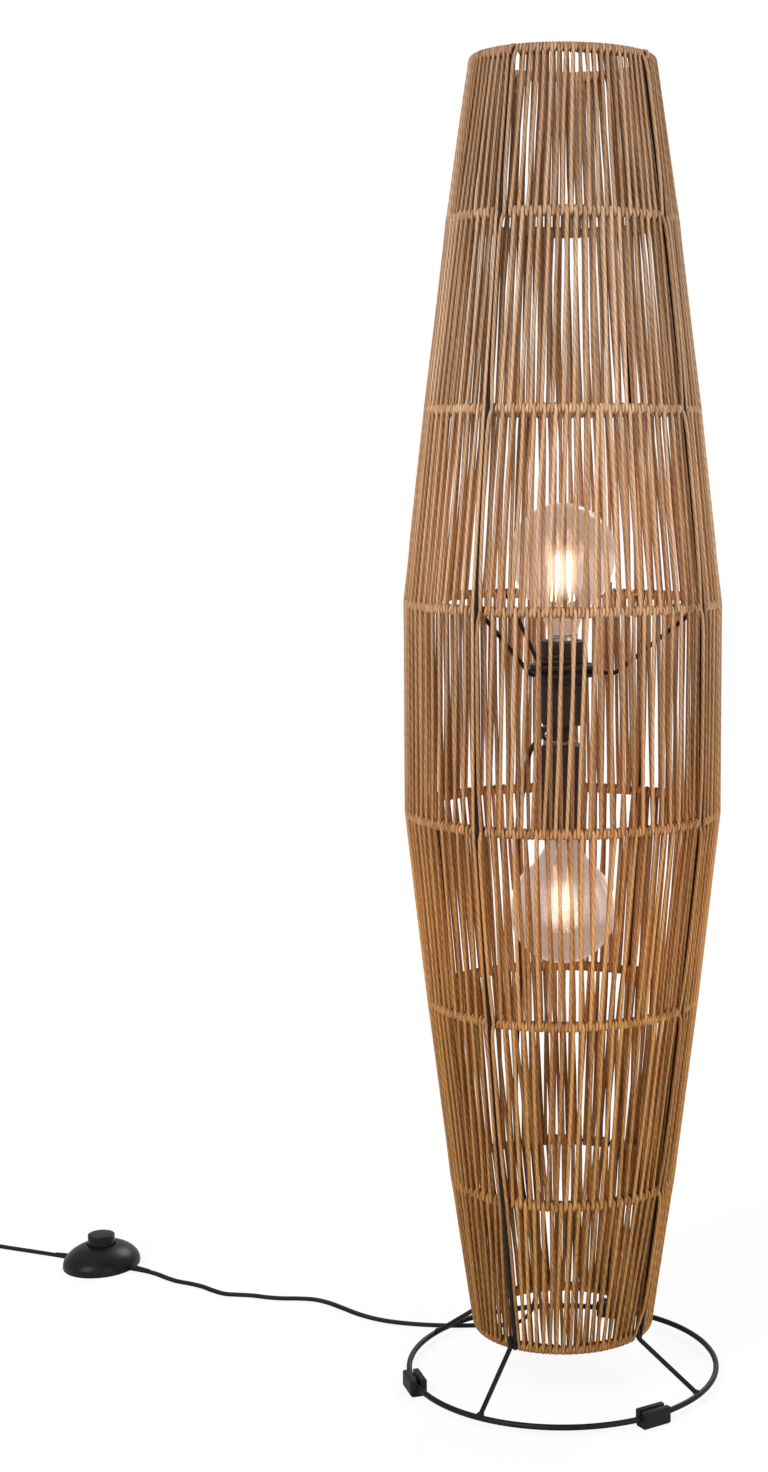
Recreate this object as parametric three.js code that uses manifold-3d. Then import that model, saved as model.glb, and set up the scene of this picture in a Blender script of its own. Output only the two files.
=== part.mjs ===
// A floor lamp with a tall barrel shade: twisted paper cord wound on a welded steel wire frame,
// two lampholders back to back inside it, and a mains lead with a foot switch.
// Millimetres, +Z up. The origin is the centre of the base ring, on the floor. The front is -Y.
import * as THREE from 'three';
import { mergeVertices } from 'three/addons/utils/BufferGeometryUtils.js';
import Module from 'manifold-3d';

const wasm = await Module();
wasm.setup();

// Driving sizes of the shade: the radius of each wire ring and the height between rings
const mouthRadius = 76;
const shoulderRadius = 95.5;
const flankRadius = 115.5;
const bellyRadius = 134;
const bottomRingHeight = 50.5;
const mouthBand = 134;
const shoulderBand = 161;
const flankBand = 166;
const bellyBand = 183;

// Driving sizes of the wires and of the wound cord
const ringWire = 3;
const uprightWire = 4;
const spokeWire = 4.2;
const armWire = 4;
const paperCord = 3;
const clearance = 0.3;
const ringSides = 5;
const wireSides = 6;
const cordSides = 4;

// The winding: loops in each band, and how a loop shares out its step round the ring
const loopsPerBand = 16;
const turnShare = 0.3;
const slantShare = 0.2;
const crossingShares = [0.6, 1];

// Driving sizes of the base
const baseRadius = 138;
const baseRod = 5;
const baseSegments = 40;
const baseSides = 6;
const baseHeight = 7.5;
const spokeTab = 9;
const footLength = 26;
const footWidth = 15;
const footHeight = 15;
const footSlot = 3.8;
const footChamfer = 2;

// Where things stand round the axis, in degrees from the front towards +X
const uprightAngles = {
  front_left: -31,
  front_right: 59,
  back_right: 149,
  back_left: -121,
};
const armAngles = { front_left: -31, front_right: 59, back: -157 };
const footAngles = { left: -71, front: 34, back: 160 };

// Driving sizes of the pair of lampholders, measured from the middle of the pair
const pairHeight = 578;
const holderBack = 8.5;
const holderMouth = 83;
const holderJoint = 45.5;
const holderRadius = 20.5;
const holderWall = 2.5;
const holderFloor = 4;
const holderRounding = 3;
const skirtRadius = 20;
const skirtBore = 14.8;
const skirtChamfer = 0.7;
const shellWall = 0.5;
const shellLength = 20;
const shellInset = 3;
const nippleRadius = 5;
const nippleBore = 3.5;
const roundSides = 16;

// Driving sizes of the carrier that hangs the lampholders from the belly ring
const carrierHeight = 57;
const carrierRadius = 29;
const carrierThickness = 2;
const clampRadius = 28.8;
const clampThickness = 4;
const clampLip = 1;
const armReach = 56;

// Driving sizes of the cord grip on the nipple
const gripHeight = 12;
const gripWidth = 12;
const gripReach = 22;
const gripHub = 6.8;
const gripChamfer = 6.3;
const gripMiddle = 0.8;

// Driving sizes of a globe bulb, measured up from its contact
const bulbInsertion = 21;
const bulbLength = 141;
const globeRadius = 47.5;
const glassWall = 1;
const bulbNeckRadius = 13.2;
const bulbCapLength = 27;
const bulbThreadRadius = 13.1;
const bulbThreadDepth = 0.8;
const bulbThreadTurns = 3;
const contactRadius = 4.5;
const contactHeight = 1.5;
const insulatorHeight = 3.5;
const neckShares = [[1.05, 0.14], [1.25, 0.42], [1.63, 0.72]];
const globeStart = 145;
const globeSteps = 7;
const stemRadius = 3.5;
const stemFlare = 10.5;
const stemFlareLength = 9;
const stemLength = 66;
const stemTipRadius = 0.8;
const filamentRadius = 0.9;
const filamentLength = 38;
const filamentHub = 6.5;
const filamentHubThickness = 1.2;
const filamentCount = 4;
const filamentSplay = { upper: 4, lower: -2 };
const fineSides = 5;

// Driving sizes of the mains lead and what is on it
const leadDiameter = 4;
const leadSides = 8;
const leadStep = 17;
const switchPlace = [-470, 270];
const switchTurn = -25;
const switchHalfLength = 37;
const switchHalfWidth = 42;
const switchHeight = 22.4;
const switchWall = 2;
const switchLift = 0.5;
const switchSides = 20;
const basePlateThickness = 2.4;
const domeShares = [[1, 0], [1, 0.17], [0.985, 0.29], [0.93, 0.45], [0.83, 0.63], [0.69, 0.8], [0.52, 0.93],
  [0.4, 1]];
const buttonRadius = 13.5;
const buttonTop = 33;
const buttonCrown = 1.2;
const buttonEdge = 1.6;
const buttonFlange = 2;
const buttonFlangeThickness = 1.9;
const buttonFlangeTop = 17.9;
const buttonTravel = 4;
const contactBlock = [20, 14];
const contactBlockTop = 9.5;
const leadHole = 2.6;

// The coil of spare lead, its tie and the plug beside it
const coilCentre = [-650, 303];
const coilRadius = 39;
const coilStart = 68;
const coilPitch = 6;
const coilTurns = 6;
const coilLayerStep = 4.6;
const coilStepsPerTurn = 16;
const coilSides = 5;
const tailRadius = 52;
const tailEnd = 180;
const tailSteps = 7;
const tieThickness = 0.8;
const tieWidth = 6;
const tieAngle = 270;
const tieMargin = 0.9;
const plugThickness = 13.7;
const plugLength = 36;
const plugHalfWidth = 17.6;
const plugBevel = 1.5;
const plugShares = [[0, 0.36], [0.22, 0.5], [0.5, 0.9], [0.66, 1], [0.96, 1], [1, 0.95]];
const reliefLength = 22;
const reliefTip = 3.1;
const reliefRoot = 5.4;
const reliefOverlap = 4;
const pinRadius = 2;
const pinLength = 19;
const pinSpacing = 18.6;
const pinSides = 10;

// The lead from the cord grip down inside the shade, out under the base ring and over the floor
const leadToSwitchRoute = [
  [-19.0, 0.0, 575.7], [-24.3, 0.3, 570.0], [-28.6, 1.2, 563.2], [-31.0, 3.2, 554.0], [-32.6, 6.5, 541.0],
  [-36.0, 13.0, 522.0], [-39.6, 21.0, 498.0], [-40.4, 30.0, 466.0], [-39.2, 37.0, 428.0], [-37.6, 40.5, 388.0],
  [-38.2, 41.5, 350.0], [-41.0, 43.0, 312.0], [-42.8, 45.0, 260.0], [-42.6, 47.0, 205.0], [-39.0, 49.0, 166.0],
  [-33.0, 52.0, 128.0], [-27.0, 56.0, 90.0], [-24.0, 61.0, 58.0], [-27.0, 69.0, 37.0], [-33.5, 82.0, 20.5],
  [-43.0, 97.0, 9.0], [-58.0, 109.0, 3.0], [-80.0, 114.5, 2.0], [-105.0, 116.5, 2.0], [-130.0, 118.5, 2.0],
  [-158.0, 123.5, 2.0], [-190.0, 138.0, 2.0], [-220.0, 161.0, 2.0], [-248.0, 179.0, 2.0], [-278.0, 188.5, 2.0],
  [-308.0, 194.5, 2.0], [-335.0, 203.0, 2.0], [-360.0, 216.0, 2.0], [-384.0, 229.5, 2.0], [-409.0, 241.6, 2.0],
  [-438.2, 255.2, 2.0],
];
const leadToPlugRoute = [
  [-501.8, 284.8, 2.0], [-519.0, 292.4, 2.0], [-535.0, 299.0, 2.0], [-552.0, 305.9, 2.0], [-570.0, 313.0, 2.0],
  [-588.0, 320.1, 2.2], [-604.0, 326.6, 2.7], [-619.0, 332.6, 3.2], [-634.6, 338.8, 3.4],
];

// Materials, from the photograph
const steel = new THREE.MeshStandardMaterial({ color: 0x17171a, roughness: 0.45, metalness: 0.3 });
const cord = new THREE.MeshStandardMaterial({ color: 0xa27b52, roughness: 0.9, metalness: 0 });
const plastic = new THREE.MeshStandardMaterial({ color: 0x1d1c1f, roughness: 0.5, metalness: 0 });
const rubber = new THREE.MeshStandardMaterial({ color: 0x19181b, roughness: 0.65, metalness: 0 });
const brass = new THREE.MeshStandardMaterial({ color: 0xb39a5c, roughness: 0.35, metalness: 1 });
const nickel = new THREE.MeshStandardMaterial({ color: 0xb9b9b4, roughness: 0.3, metalness: 1 });
const glass = new THREE.MeshStandardMaterial({
  color: 0xf2ede2, roughness: 0.05, metalness: 0, transparent: true, opacity: 0.3,
});
const phosphor = new THREE.MeshStandardMaterial({ color: 0xf2a441, roughness: 0.6, metalness: 0 });

const lamp = new THREE.Group();

// Adds one named piece to the lamp
function add(name, geometry, material) {
  const mesh = new THREE.Mesh(geometry, material);
  mesh.name = name;
  lamp.add(mesh);
  return mesh;
}

const radians = THREE.MathUtils.degToRad;

// A point at a radius, an angle from the front and a height
function place(radius, angle, height) {
  const turn = radians(angle);
  return new THREE.Vector3(radius * Math.sin(turn), -radius * Math.cos(turn), height);
}

// A route through listed points, with one step of an extrusion at each point
class Route extends THREE.Curve {
  constructor(points) {
    super();
    this.points = points;
  }

  getPoint(share, target = new THREE.Vector3()) {
    const last = this.points.length - 1;
    const position = Math.min(Math.max(share, 0), 1) * last;
    const index = Math.min(Math.floor(position), last - 1);
    return target.lerpVectors(this.points[index], this.points[index + 1], position - index);
  }

  getPointAt(share, target) {
    return this.getPoint(share, target);
  }

  getTangentAt(share, target = new THREE.Vector3()) {
    const last = this.points.length - 1;
    const index = Math.round(Math.min(Math.max(share, 0), 1) * last);
    const before = this.points[Math.max(index - 1, 0)];
    const here = this.points[index];
    const after = this.points[Math.min(index + 1, last)];
    const arriving = here.clone().sub(before).normalize();
    const leaving = after.clone().sub(here).normalize();
    return target.copy(arriving).add(leaving).normalize();
  }
}

// A round solid bar or cord through listed points
function barAlong(points, diameter, sides) {
  const section = new THREE.Shape();
  for (let side = 0; side < sides; side += 1) {
    const turn = (side / sides) * 2 * Math.PI;
    const x = (diameter / 2) * Math.cos(turn);
    const y = (diameter / 2) * Math.sin(turn);
    if (side === 0) section.moveTo(x, y);
    else section.lineTo(x, y);
  }
  section.closePath();
  return new THREE.ExtrudeGeometry(section, {
    steps: points.length - 1,
    bevelEnabled: false,
    extrudePath: new Route(points),
  });
}

// A solid of revolution about Z, from a profile of [radius, height] pairs, with its faces outward
function turned(profile, sides) {
  const points = profile.map(([radius, height]) => new THREE.Vector2(radius, height));
  const geometry = new THREE.LatheGeometry(points, sides);
  geometry.rotateX(Math.PI / 2);
  return facingOut(geometry);
}

// The signed volume of a closed geometry
function volumeOf(geometry) {
  const { position } = geometry.attributes;
  const order = geometry.index ? geometry.index.array : [...Array(position.count).keys()];
  const corner = [new THREE.Vector3(), new THREE.Vector3(), new THREE.Vector3()];
  let volume = 0;
  for (let start = 0; start < order.length; start += 3) {
    corner.forEach((vector, k) => vector.fromBufferAttribute(position, order[start + k]));
    volume += corner[0].dot(corner[1].clone().cross(corner[2])) / 6;
  }
  return volume;
}

// The same geometry with merged corners and every face pointing out
function facingOut(geometry) {
  geometry.deleteAttribute('normal');
  geometry.deleteAttribute('uv');
  const merged = mergeVertices(geometry);
  const kept = [];
  const order = merged.index.array;
  for (let start = 0; start < order.length; start += 3) {
    const [a, b, c] = order.slice(start, start + 3);
    if (a !== b && b !== c && c !== a) kept.push(a, b, c);
  }
  merged.setIndex(kept);
  if (volumeOf(merged) < 0) merged.setIndex(kept.reverse());
  merged.computeVertexNormals();
  return merged;
}

// A solid for joining and cutting, and back again
function solidOf(geometry) {
  const closed = facingOut(geometry.clone());
  const mesh = new wasm.Mesh({
    numProp: 3,
    vertProperties: new Float32Array(closed.attributes.position.array),
    triVerts: new Uint32Array(closed.index.array),
  });
  return new wasm.Manifold(mesh);
}

function geometryOf(solid) {
  const mesh = solid.getMesh();
  const geometry = new THREE.BufferGeometry();
  geometry.setAttribute('position', new THREE.BufferAttribute(new Float32Array(mesh.vertProperties), 3));
  geometry.setIndex([...mesh.triVerts]);
  geometry.computeVertexNormals();
  return geometry;
}

function cut(body, ...tools) {
  return geometryOf(tools.reduce((solid, tool) => solid.subtract(solidOf(tool)), solidOf(body)));
}

function joined(...bodies) {
  return geometryOf(bodies.map(solidOf).reduce((all, body) => all.add(body)));
}

// A cylinder between two points
function rod(from, to, radius, sides, endRadius = radius) {
  const along = to.clone().sub(from);
  const geometry = new THREE.CylinderGeometry(endRadius, radius, along.length(), sides);
  const up = new THREE.Vector3(0, 1, 0);
  geometry.applyQuaternion(new THREE.Quaternion().setFromUnitVectors(up, along.clone().normalize()));
  const middle = from.clone().add(to).multiplyScalar(0.5);
  return geometry.translate(middle.x, middle.y, middle.z);
}

// The least gap between two stretches of one tube, measured on points along its route
function leastSelfGap(points, diameter) {
  const spots = [];
  let travelled = 0;
  points.slice(1).forEach((end, index) => {
    const start = points[index];
    const length = start.distanceTo(end);
    const count = Math.max(1, Math.ceil(length / diameter));
    for (let k = 0; k < count; k += 1) {
      spots.push({ at: start.clone().lerp(end, k / count), along: travelled + (length * k) / count });
    }
    travelled += length;
  });
  const apart = Math.PI * diameter;
  let least = Infinity;
  spots.forEach((one, index) => {
    for (let other = index + 1; other < spots.length; other += 1) {
      if (spots[other].along - one.along > apart) {
        least = Math.min(least, one.at.distanceTo(spots[other].at));
      }
    }
  });
  return least - diameter;
}

// The wire rings of the shade, from the top
const ringRadii = [mouthRadius, shoulderRadius, flankRadius, bellyRadius, bellyRadius, flankRadius,
  shoulderRadius, mouthRadius];
const bands = [mouthBand, shoulderBand, flankBand, bellyBand, flankBand, shoulderBand, mouthBand];
const ringHeights = ringRadii.map((_, index) => (
  bands.slice(index).reduce((sum, band) => sum + band, bottomRingHeight)));
const ringSegments = loopsPerBand * 2;

const loopPitch = 360 / loopsPerBand;

// A wire ring with its corners midway between the loops and the uprights
function wireRing(radius, rodDiameter, segments, height, sides) {
  const geometry = new THREE.TorusGeometry(radius, rodDiameter / 2, sides, segments);
  geometry.rotateZ(radians(uprightAngles.front_left + loopPitch / 4 - 90));
  geometry.translate(0, 0, height);
  return geometry;
}

function addRings() {
  ringRadii.forEach((radius, index) => {
    add(`ring_${index + 1}`, wireRing(radius, ringWire, ringSegments, ringHeights[index], ringSides), steel);
  });
  add('base_ring', wireRing(baseRadius, baseRod, baseSegments, baseHeight, baseSides), steel);
}

// The middle of a flat side of a faceted ring lies a little inside its radius
function flatRadius(ringRadius) {
  return ringRadius * Math.cos(Math.PI / ringSegments);
}

// The four uprights stand against the outside of the rings
function uprightRadius(ringRadius) {
  return flatRadius(ringRadius) + ringWire / 2 + clearance + uprightWire / 2;
}

function addUprights() {
  Object.entries(uprightAngles).forEach(([name, angle]) => {
    const points = ringRadii.map((radius, index) => place(uprightRadius(radius), angle, ringHeights[index]));
    points[0].z += ringWire / 2;
    points[points.length - 1].z -= ringWire;
    add(`upright_${name}`, barAlong(points, uprightWire, wireSides), steel);
  });
}

// A spoke stands against the bottom ring, beside an upright, and runs down to the base ring
function addSpokes() {
  const tabRadius = mouthRadius + ringWire / 2 + clearance + spokeWire / 2;
  const bendHeight = bottomRingHeight - ringWire / 2;
  const apart = uprightWire / 2 + spokeWire / 2 + 2 * clearance;
  const aside = THREE.MathUtils.radToDeg(apart / tabRadius);
  Object.entries(uprightAngles).forEach(([name, angle]) => {
    const bend = place(tabRadius, angle - aside, bendHeight);
    const seat = place(baseRadius, angle, baseHeight);
    const down = seat.clone().sub(bend).normalize();
    const end = seat.clone().addScaledVector(down, -(baseRod / 2 + clearance));
    const points = [
      place(tabRadius, angle - aside, bendHeight + spokeTab),
      place(tabRadius, angle - aside, bendHeight + spokeWire / 2),
      bend.clone().addScaledVector(down, spokeWire / 2),
      end,
    ];
    add(`spoke_${name}`, barAlong(points, spokeWire, wireSides), steel);
  });
}

// A clip-on foot: a block with a seat for the base ring and a narrower slot above it
function addFeet() {
  const clearRing = wireRing(baseRadius, baseRod + 2 * clearance, baseSegments, baseHeight, baseSides);
  Object.entries(footAngles).forEach(([name, angle]) => {
    const outline = new THREE.Shape();
    const half = footWidth / 2;
    outline.moveTo(-half + footChamfer, 0);
    outline.lineTo(half - footChamfer, 0);
    outline.lineTo(half, footChamfer);
    outline.lineTo(half, footHeight - footChamfer / 2);
    outline.lineTo(half - footChamfer / 2, footHeight);
    outline.lineTo(-half + footChamfer / 2, footHeight);
    outline.lineTo(-half, footHeight - footChamfer / 2);
    outline.lineTo(-half, footChamfer);
    outline.closePath();
    const block = new THREE.ExtrudeGeometry(outline, { depth: footLength, bevelEnabled: false });
    const slotDepth = footHeight - baseHeight + clearance;
    const slot = new THREE.BoxGeometry(footSlot, slotDepth, footLength + 2 * footChamfer);
    slot.translate(0, baseHeight + slotDepth / 2, footLength / 2);
    [block, slot].forEach((geometry) => {
      geometry.translate(0, 0, -footLength / 2);
      geometry.rotateX(Math.PI / 2);
      geometry.rotateZ(radians(angle + 90));
      const seat = place(baseRadius, angle, 0);
      geometry.translate(seat.x, seat.y, 0);
    });
    add(`foot_${name}`, cut(block, slot, clearRing), rubber);
  });
}

// One winding goes up outside, over the upper ring, down inside and under the lower ring
function windingRoute(upper, lower) {
  const turn = turnShare * loopPitch;
  const slant = slantShare * loopPitch;
  const crossings = crossingShares.length + 1;
  const wrap = (ringWire / 2 + clearance + paperCord / 2) / Math.cos(Math.PI / crossings / 2);
  const points = [];
  for (let loop = 0; loop < loopsPerBand; loop += 1) {
    const outer = uprightAngles.front_left - turn / 2 + (loop + 3 / 4) * loopPitch;
    const inner = outer + turn;
    const around = (ring, share, angle) => {
      const climb = share * Math.PI;
      const radius = ringRadii[ring] + wrap * Math.cos(climb);
      return place(radius, angle, ringHeights[ring] + wrap * Math.sin(climb));
    };
    points.push(around(lower, 0, outer - slant));
    points.push(around(upper, 0, outer));
    crossingShares.forEach((share, index) => {
      points.push(around(upper, (index + 1) / crossings, outer + turn * share));
    });
    points.push(around(upper, 1, inner));
    points.push(around(lower, 1, inner + slant));
    if (loop < loopsPerBand - 1) {
      [...crossingShares].reverse().forEach((share, index) => {
        points.push(around(lower, (index + 1) / crossings - 1, inner + slant + turn * (1 - share)));
      });
    }
  }
  return points;
}

function addWindings() {
  bands.forEach((_, band) => {
    const points = windingRoute(band, band + 1);
    add(`winding_${band + 1}`, barAlong(points, paperCord, cordSides), cord);
    console.log(`winding_${band + 1}: least gap to itself ${leastSelfGap(points, paperCord).toFixed(2)} mm`);
  });
}

// The carrier: a washer clamped on the upper lampholder, and three arms up to the belly ring
function addCarrier() {
  const middle = pairHeight + carrierHeight;
  const half = carrierThickness / 2;
  const bore = skirtRadius + clearance;
  const ringOf = (outer, low, high) => turned(
    [[bore, low], [outer, low], [outer, high], [bore, high], [bore, low]], roundSides);
  add('carrier_washer', ringOf(carrierRadius, middle - half, middle + half), steel);
  const clampProfile = (face, away) => {
    const back = face + away * clampThickness;
    return turned([[bore, face], [clampRadius - clampLip, face], [clampRadius, face + away * clampLip],
      [clampRadius, back], [bore, back], [bore, face]], roundSides);
  };
  add('clamp_ring_upper', clampProfile(middle + half + clearance, 1), plastic);
  add('clamp_ring_lower', clampProfile(middle - half - clearance, -1), plastic);

  const belly = 3;
  Object.entries(armAngles).forEach(([name, angle]) => {
    const bend = place(armReach, angle, middle + armWire / 2);
    const seat = place(flatRadius(bellyRadius), angle, ringHeights[belly]);
    const along = seat.clone().sub(bend).normalize();
    const standOff = ringWire / 2 + clearance;
    const points = [
      place(carrierRadius + clearance, angle, middle),
      place(armReach - armWire, angle, middle),
      bend,
      seat.clone().addScaledVector(along, -standOff),
    ];
    add(`carrier_arm_${name}`, barAlong(points, armWire, wireSides), steel);
  });
}

// A zigzag thread profile from one height to another, outside a radius
function threadProfile(radius, depth, start, pitch, turns) {
  const profile = [];
  for (let turn = 0; turn < turns; turn += 1) {
    profile.push([radius - depth, start + turn * pitch], [radius, start + (turn + 0.5) * pitch]);
  }
  profile.push([radius - depth, start + turns * pitch]);
  return profile;
}

// Puts a profile drawn up from the middle of the pair into its place, the lower one upside down
function paired(profile, side) {
  return profile.map(([radius, height]) => [radius, pairHeight + side * height]);
}

// A lampholder: a cup screwed on the nipple, a skirt, and the brass shell for the bulb
function addHolder(name, side) {
  const inner = holderRadius - holderWall;
  const bore = nippleRadius + clearance;
  add(`${name}_holder_cup`, turned(paired([
    [bore, holderBack], [holderRadius - holderRounding, holderBack], [holderRadius, holderBack + holderRounding],
    [holderRadius, holderJoint], [inner, holderJoint], [inner, holderBack + holderFloor],
    [bore, holderBack + holderFloor], [bore, holderBack],
  ], side), roundSides), plastic);
  add(`${name}_holder_skirt`, turned(paired([
    [skirtBore, holderJoint + clearance], [skirtRadius, holderJoint + clearance],
    [skirtRadius, holderMouth - skirtChamfer], [skirtRadius - skirtChamfer, holderMouth],
    [skirtBore, holderMouth], [skirtBore, holderJoint + clearance],
  ], side), roundSides), plastic);
  const shellOuter = skirtBore - clearance;
  const top = holderMouth - shellInset;
  add(`${name}_holder_shell`, turned(paired([
    [shellOuter - shellWall, top - shellLength], [shellOuter, top - shellLength], [shellOuter, top],
    [shellOuter - shellWall, top], [shellOuter - shellWall, top - shellLength],
  ], side), roundSides), brass);
}

// The threaded tube that holds the two cups back to back, and the cord grip on it
function addNippleAndGrip() {
  const half = holderBack + holderFloor + 2 * clearance;
  add('nipple', turned([
    [nippleBore, pairHeight - half], [nippleRadius, pairHeight - half], [nippleRadius, pairHeight + half],
    [nippleBore, pairHeight + half], [nippleBore, pairHeight - half],
  ], roundSides), brass);
  const low = pairHeight + gripMiddle - gripHeight / 2;
  const high = low + gripHeight;
  const outline = new THREE.Shape();
  outline.moveTo(gripHub, low);
  outline.lineTo(gripHub, high);
  outline.lineTo(-gripReach, high);
  outline.lineTo(-gripReach, low + gripChamfer);
  outline.lineTo(-gripReach + gripChamfer, low);
  outline.closePath();
  const block = new THREE.ExtrudeGeometry(outline, { depth: gripWidth, bevelEnabled: false });
  block.rotateX(Math.PI / 2);
  block.translate(0, gripWidth / 2, 0);
  const through = new THREE.Vector3(0, 0, low - clearance);
  const hole = rod(through, through.clone().setZ(high + clearance), nippleRadius + clearance, roundSides);
  add('cord_grip', cut(block, hole), plastic);
}

// A globe bulb: glass, screw cap, glass stem and filaments
function addBulb(name, side) {
  const contact = holderMouth - bulbInsertion;
  const capTop = contact + bulbCapLength;
  const threadBottom = contact + contactHeight + insulatorHeight;
  const pitch = (bulbCapLength - contactHeight - insulatorHeight) / (bulbThreadTurns + 1);
  add(`${name}_bulb_cap`, turned(paired([
    [0, contact], [contactRadius, contact], [contactRadius, contact + contactHeight],
    ...threadProfile(bulbThreadRadius, bulbThreadDepth, threadBottom, pitch, bulbThreadTurns),
    [bulbThreadRadius, capTop], [0, capTop],
  ], side), roundSides), nickel);

  const neck = capTop + clearance;
  const centre = contact + bulbLength - globeRadius;
  const glassProfile = (radius, inset) => {
    const start = radians(globeStart);
    const shoulder = centre + radius * Math.cos(start);
    const points = [[bulbNeckRadius - inset, neck]];
    neckShares.forEach(([wide, high]) => {
      points.push([bulbNeckRadius * wide - inset, neck + (shoulder - neck) * high]);
    });
    for (let step = 0; step <= globeSteps; step += 1) {
      const angle = start * (1 - step / globeSteps);
      points.push([step === globeSteps ? 0 : radius * Math.sin(angle), centre + radius * Math.cos(angle)]);
    }
    return points;
  };
  const outside = glassProfile(globeRadius, 0);
  const inside = glassProfile(globeRadius - glassWall, glassWall).reverse();
  add(`${name}_bulb_glass`, turned(paired([...inside, ...outside], side), roundSides), glass);

  const foot = neck;
  const stemTop = foot + stemLength;
  const hubLow = stemTop + clearance;
  add(`${name}_bulb_stem`, turned(paired([
    [0, foot], [stemFlare, foot], [stemRadius, foot + stemFlareLength],
    [stemRadius, stemTop - filamentLength - 2 * stemRadius],
    [stemTipRadius, stemTop - filamentLength - stemRadius],
    [stemTipRadius, stemTop], [0, stemTop],
  ], side), fineSides * 2), glass);

  const along = (height) => pairHeight + side * height;
  const splay = filamentSplay[name];
  const sticks = [];
  for (let stick = 0; stick < filamentCount; stick += 1) {
    const angle = ((stick + 0.5) / filamentCount) * 360;
    const upper = place(filamentHub - filamentRadius, angle, along(hubLow + filamentHubThickness / 2));
    const lower = place(filamentHub - filamentRadius + splay, angle, along(hubLow - filamentLength));
    sticks.push(rod(lower, upper, filamentRadius, fineSides));
  }
  const hub = turned(paired([[0, hubLow], [filamentHub, hubLow], [filamentHub, hubLow + filamentHubThickness],
    [0, hubLow + filamentHubThickness]], side), fineSides * 2);
  add(`${name}_bulb_filaments`, joined(hub, ...sticks), phosphor);
}

// A smooth run of points through a listed route
function smoothRoute(points, step) {
  const curve = new THREE.CatmullRomCurve3(points.map((point) => new THREE.Vector3(...point)), false, 'centripetal');
  return curve.getSpacedPoints(Math.round(curve.getLength() / step));
}

function addLeads() {
  add('lead_to_switch', barAlong(smoothRoute(leadToSwitchRoute, leadStep), leadDiameter, leadSides), rubber);
  add('lead_to_plug', barAlong(smoothRoute(leadToPlugRoute, leadStep), leadDiameter, leadSides), rubber);
}

// The foot switch: base plate, dome cover, contact block and button, turned to lie along the lead
function addSwitch() {
  const settle = (geometry) => {
    geometry.rotateZ(radians(switchTurn));
    return geometry.translate(switchPlace[0], switchPlace[1], 0);
  };
  const oval = (profile, inset) => {
    const geometry = turned(profile, switchSides);
    return geometry.scale(switchHalfLength - inset, switchHalfWidth - inset, 1);
  };
  const plateInset = switchWall + clearance;
  const plate = oval([[0, 0], [1, 0], [1, basePlateThickness], [0, basePlateThickness]], plateInset);
  add('switch_base', settle(plate), plastic);

  const dome = (height, lift) => [[0, lift], ...domeShares.map(([wide, high]) => [wide, lift + height * high]),
    [0, lift + height]];
  const outside = oval(dome(switchHeight - switchLift, switchLift), 0);
  const inside = oval(dome(switchHeight - switchLift - switchWall, switchLift - clearance), switchWall);
  const hole = rod(new THREE.Vector3(), new THREE.Vector3(0, 0, buttonTop), buttonRadius + 2 * clearance, switchSides);
  const ends = new THREE.Vector3(switchHalfLength + leadDiameter, 0, leadDiameter / 2);
  const passage = rod(ends.clone().setX(-ends.x), ends, leadHole, leadSides);
  add('switch_cover', settle(cut(outside, inside, hole, passage)), plastic);

  const block = new THREE.BoxGeometry(...contactBlock, contactBlockTop - basePlateThickness - clearance);
  block.translate(0, 0, (contactBlockTop + basePlateThickness + clearance) / 2);
  add('switch_contact', settle(block), plastic);

  const flangeLow = buttonFlangeTop - buttonFlangeThickness;
  const button = turned([
    [0, flangeLow], [buttonRadius + buttonFlange, flangeLow], [buttonRadius + buttonFlange, buttonFlangeTop],
    [buttonRadius, buttonFlangeTop], [buttonRadius, buttonTop - buttonCrown - buttonEdge],
    [buttonRadius - buttonEdge, buttonTop - buttonCrown], [(buttonRadius - buttonEdge) / 2, buttonTop - buttonCrown / 4],
    [0, buttonTop],
  ], roundSides);
  add('switch_button', settle(button), plastic);
  if (contactBlockTop > flangeLow - buttonTravel) console.log('The button reaches the contact block');
}

// The spare lead: two layers of turns, in and out again, and a tail round to the plug
const coilHeight = leadDiameter / 2 + tieThickness + 2 * clearance;

function coilRoute() {
  const points = [];
  const steps = coilTurns * coilStepsPerTurn;
  const half = coilTurns / 2;
  for (let step = 0; step <= steps; step += 1) {
    const turn = step / coilStepsPerTurn;
    const radius = coilRadius - coilPitch * Math.min(turn, coilTurns - turn);
    const climb = THREE.MathUtils.clamp((turn - half + 0.25) / 0.5, 0, 1);
    const angle = radians(coilStart + 360 * turn);
    points.push(new THREE.Vector3(coilCentre[0] + radius * Math.cos(angle),
      coilCentre[1] + radius * Math.sin(angle), coilHeight + coilLayerStep * climb));
  }
  for (let step = 1; step <= tailSteps; step += 1) {
    const share = step / tailSteps;
    const ease = share * share * (3 - 2 * share);
    const angle = radians(coilStart + (tailEnd - coilStart) * share);
    const radius = coilRadius + (tailRadius - coilRadius) * ease;
    const height = coilHeight + coilLayerStep;
    points.push(new THREE.Vector3(coilCentre[0] + radius * Math.cos(angle),
      coilCentre[1] + radius * Math.sin(angle), height + (plugThickness / 2 - height) * ease));
  }
  const end = points[points.length - 1];
  points.push(end.clone().setY(end.y - 2 * leadDiameter));
  return points;
}

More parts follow.
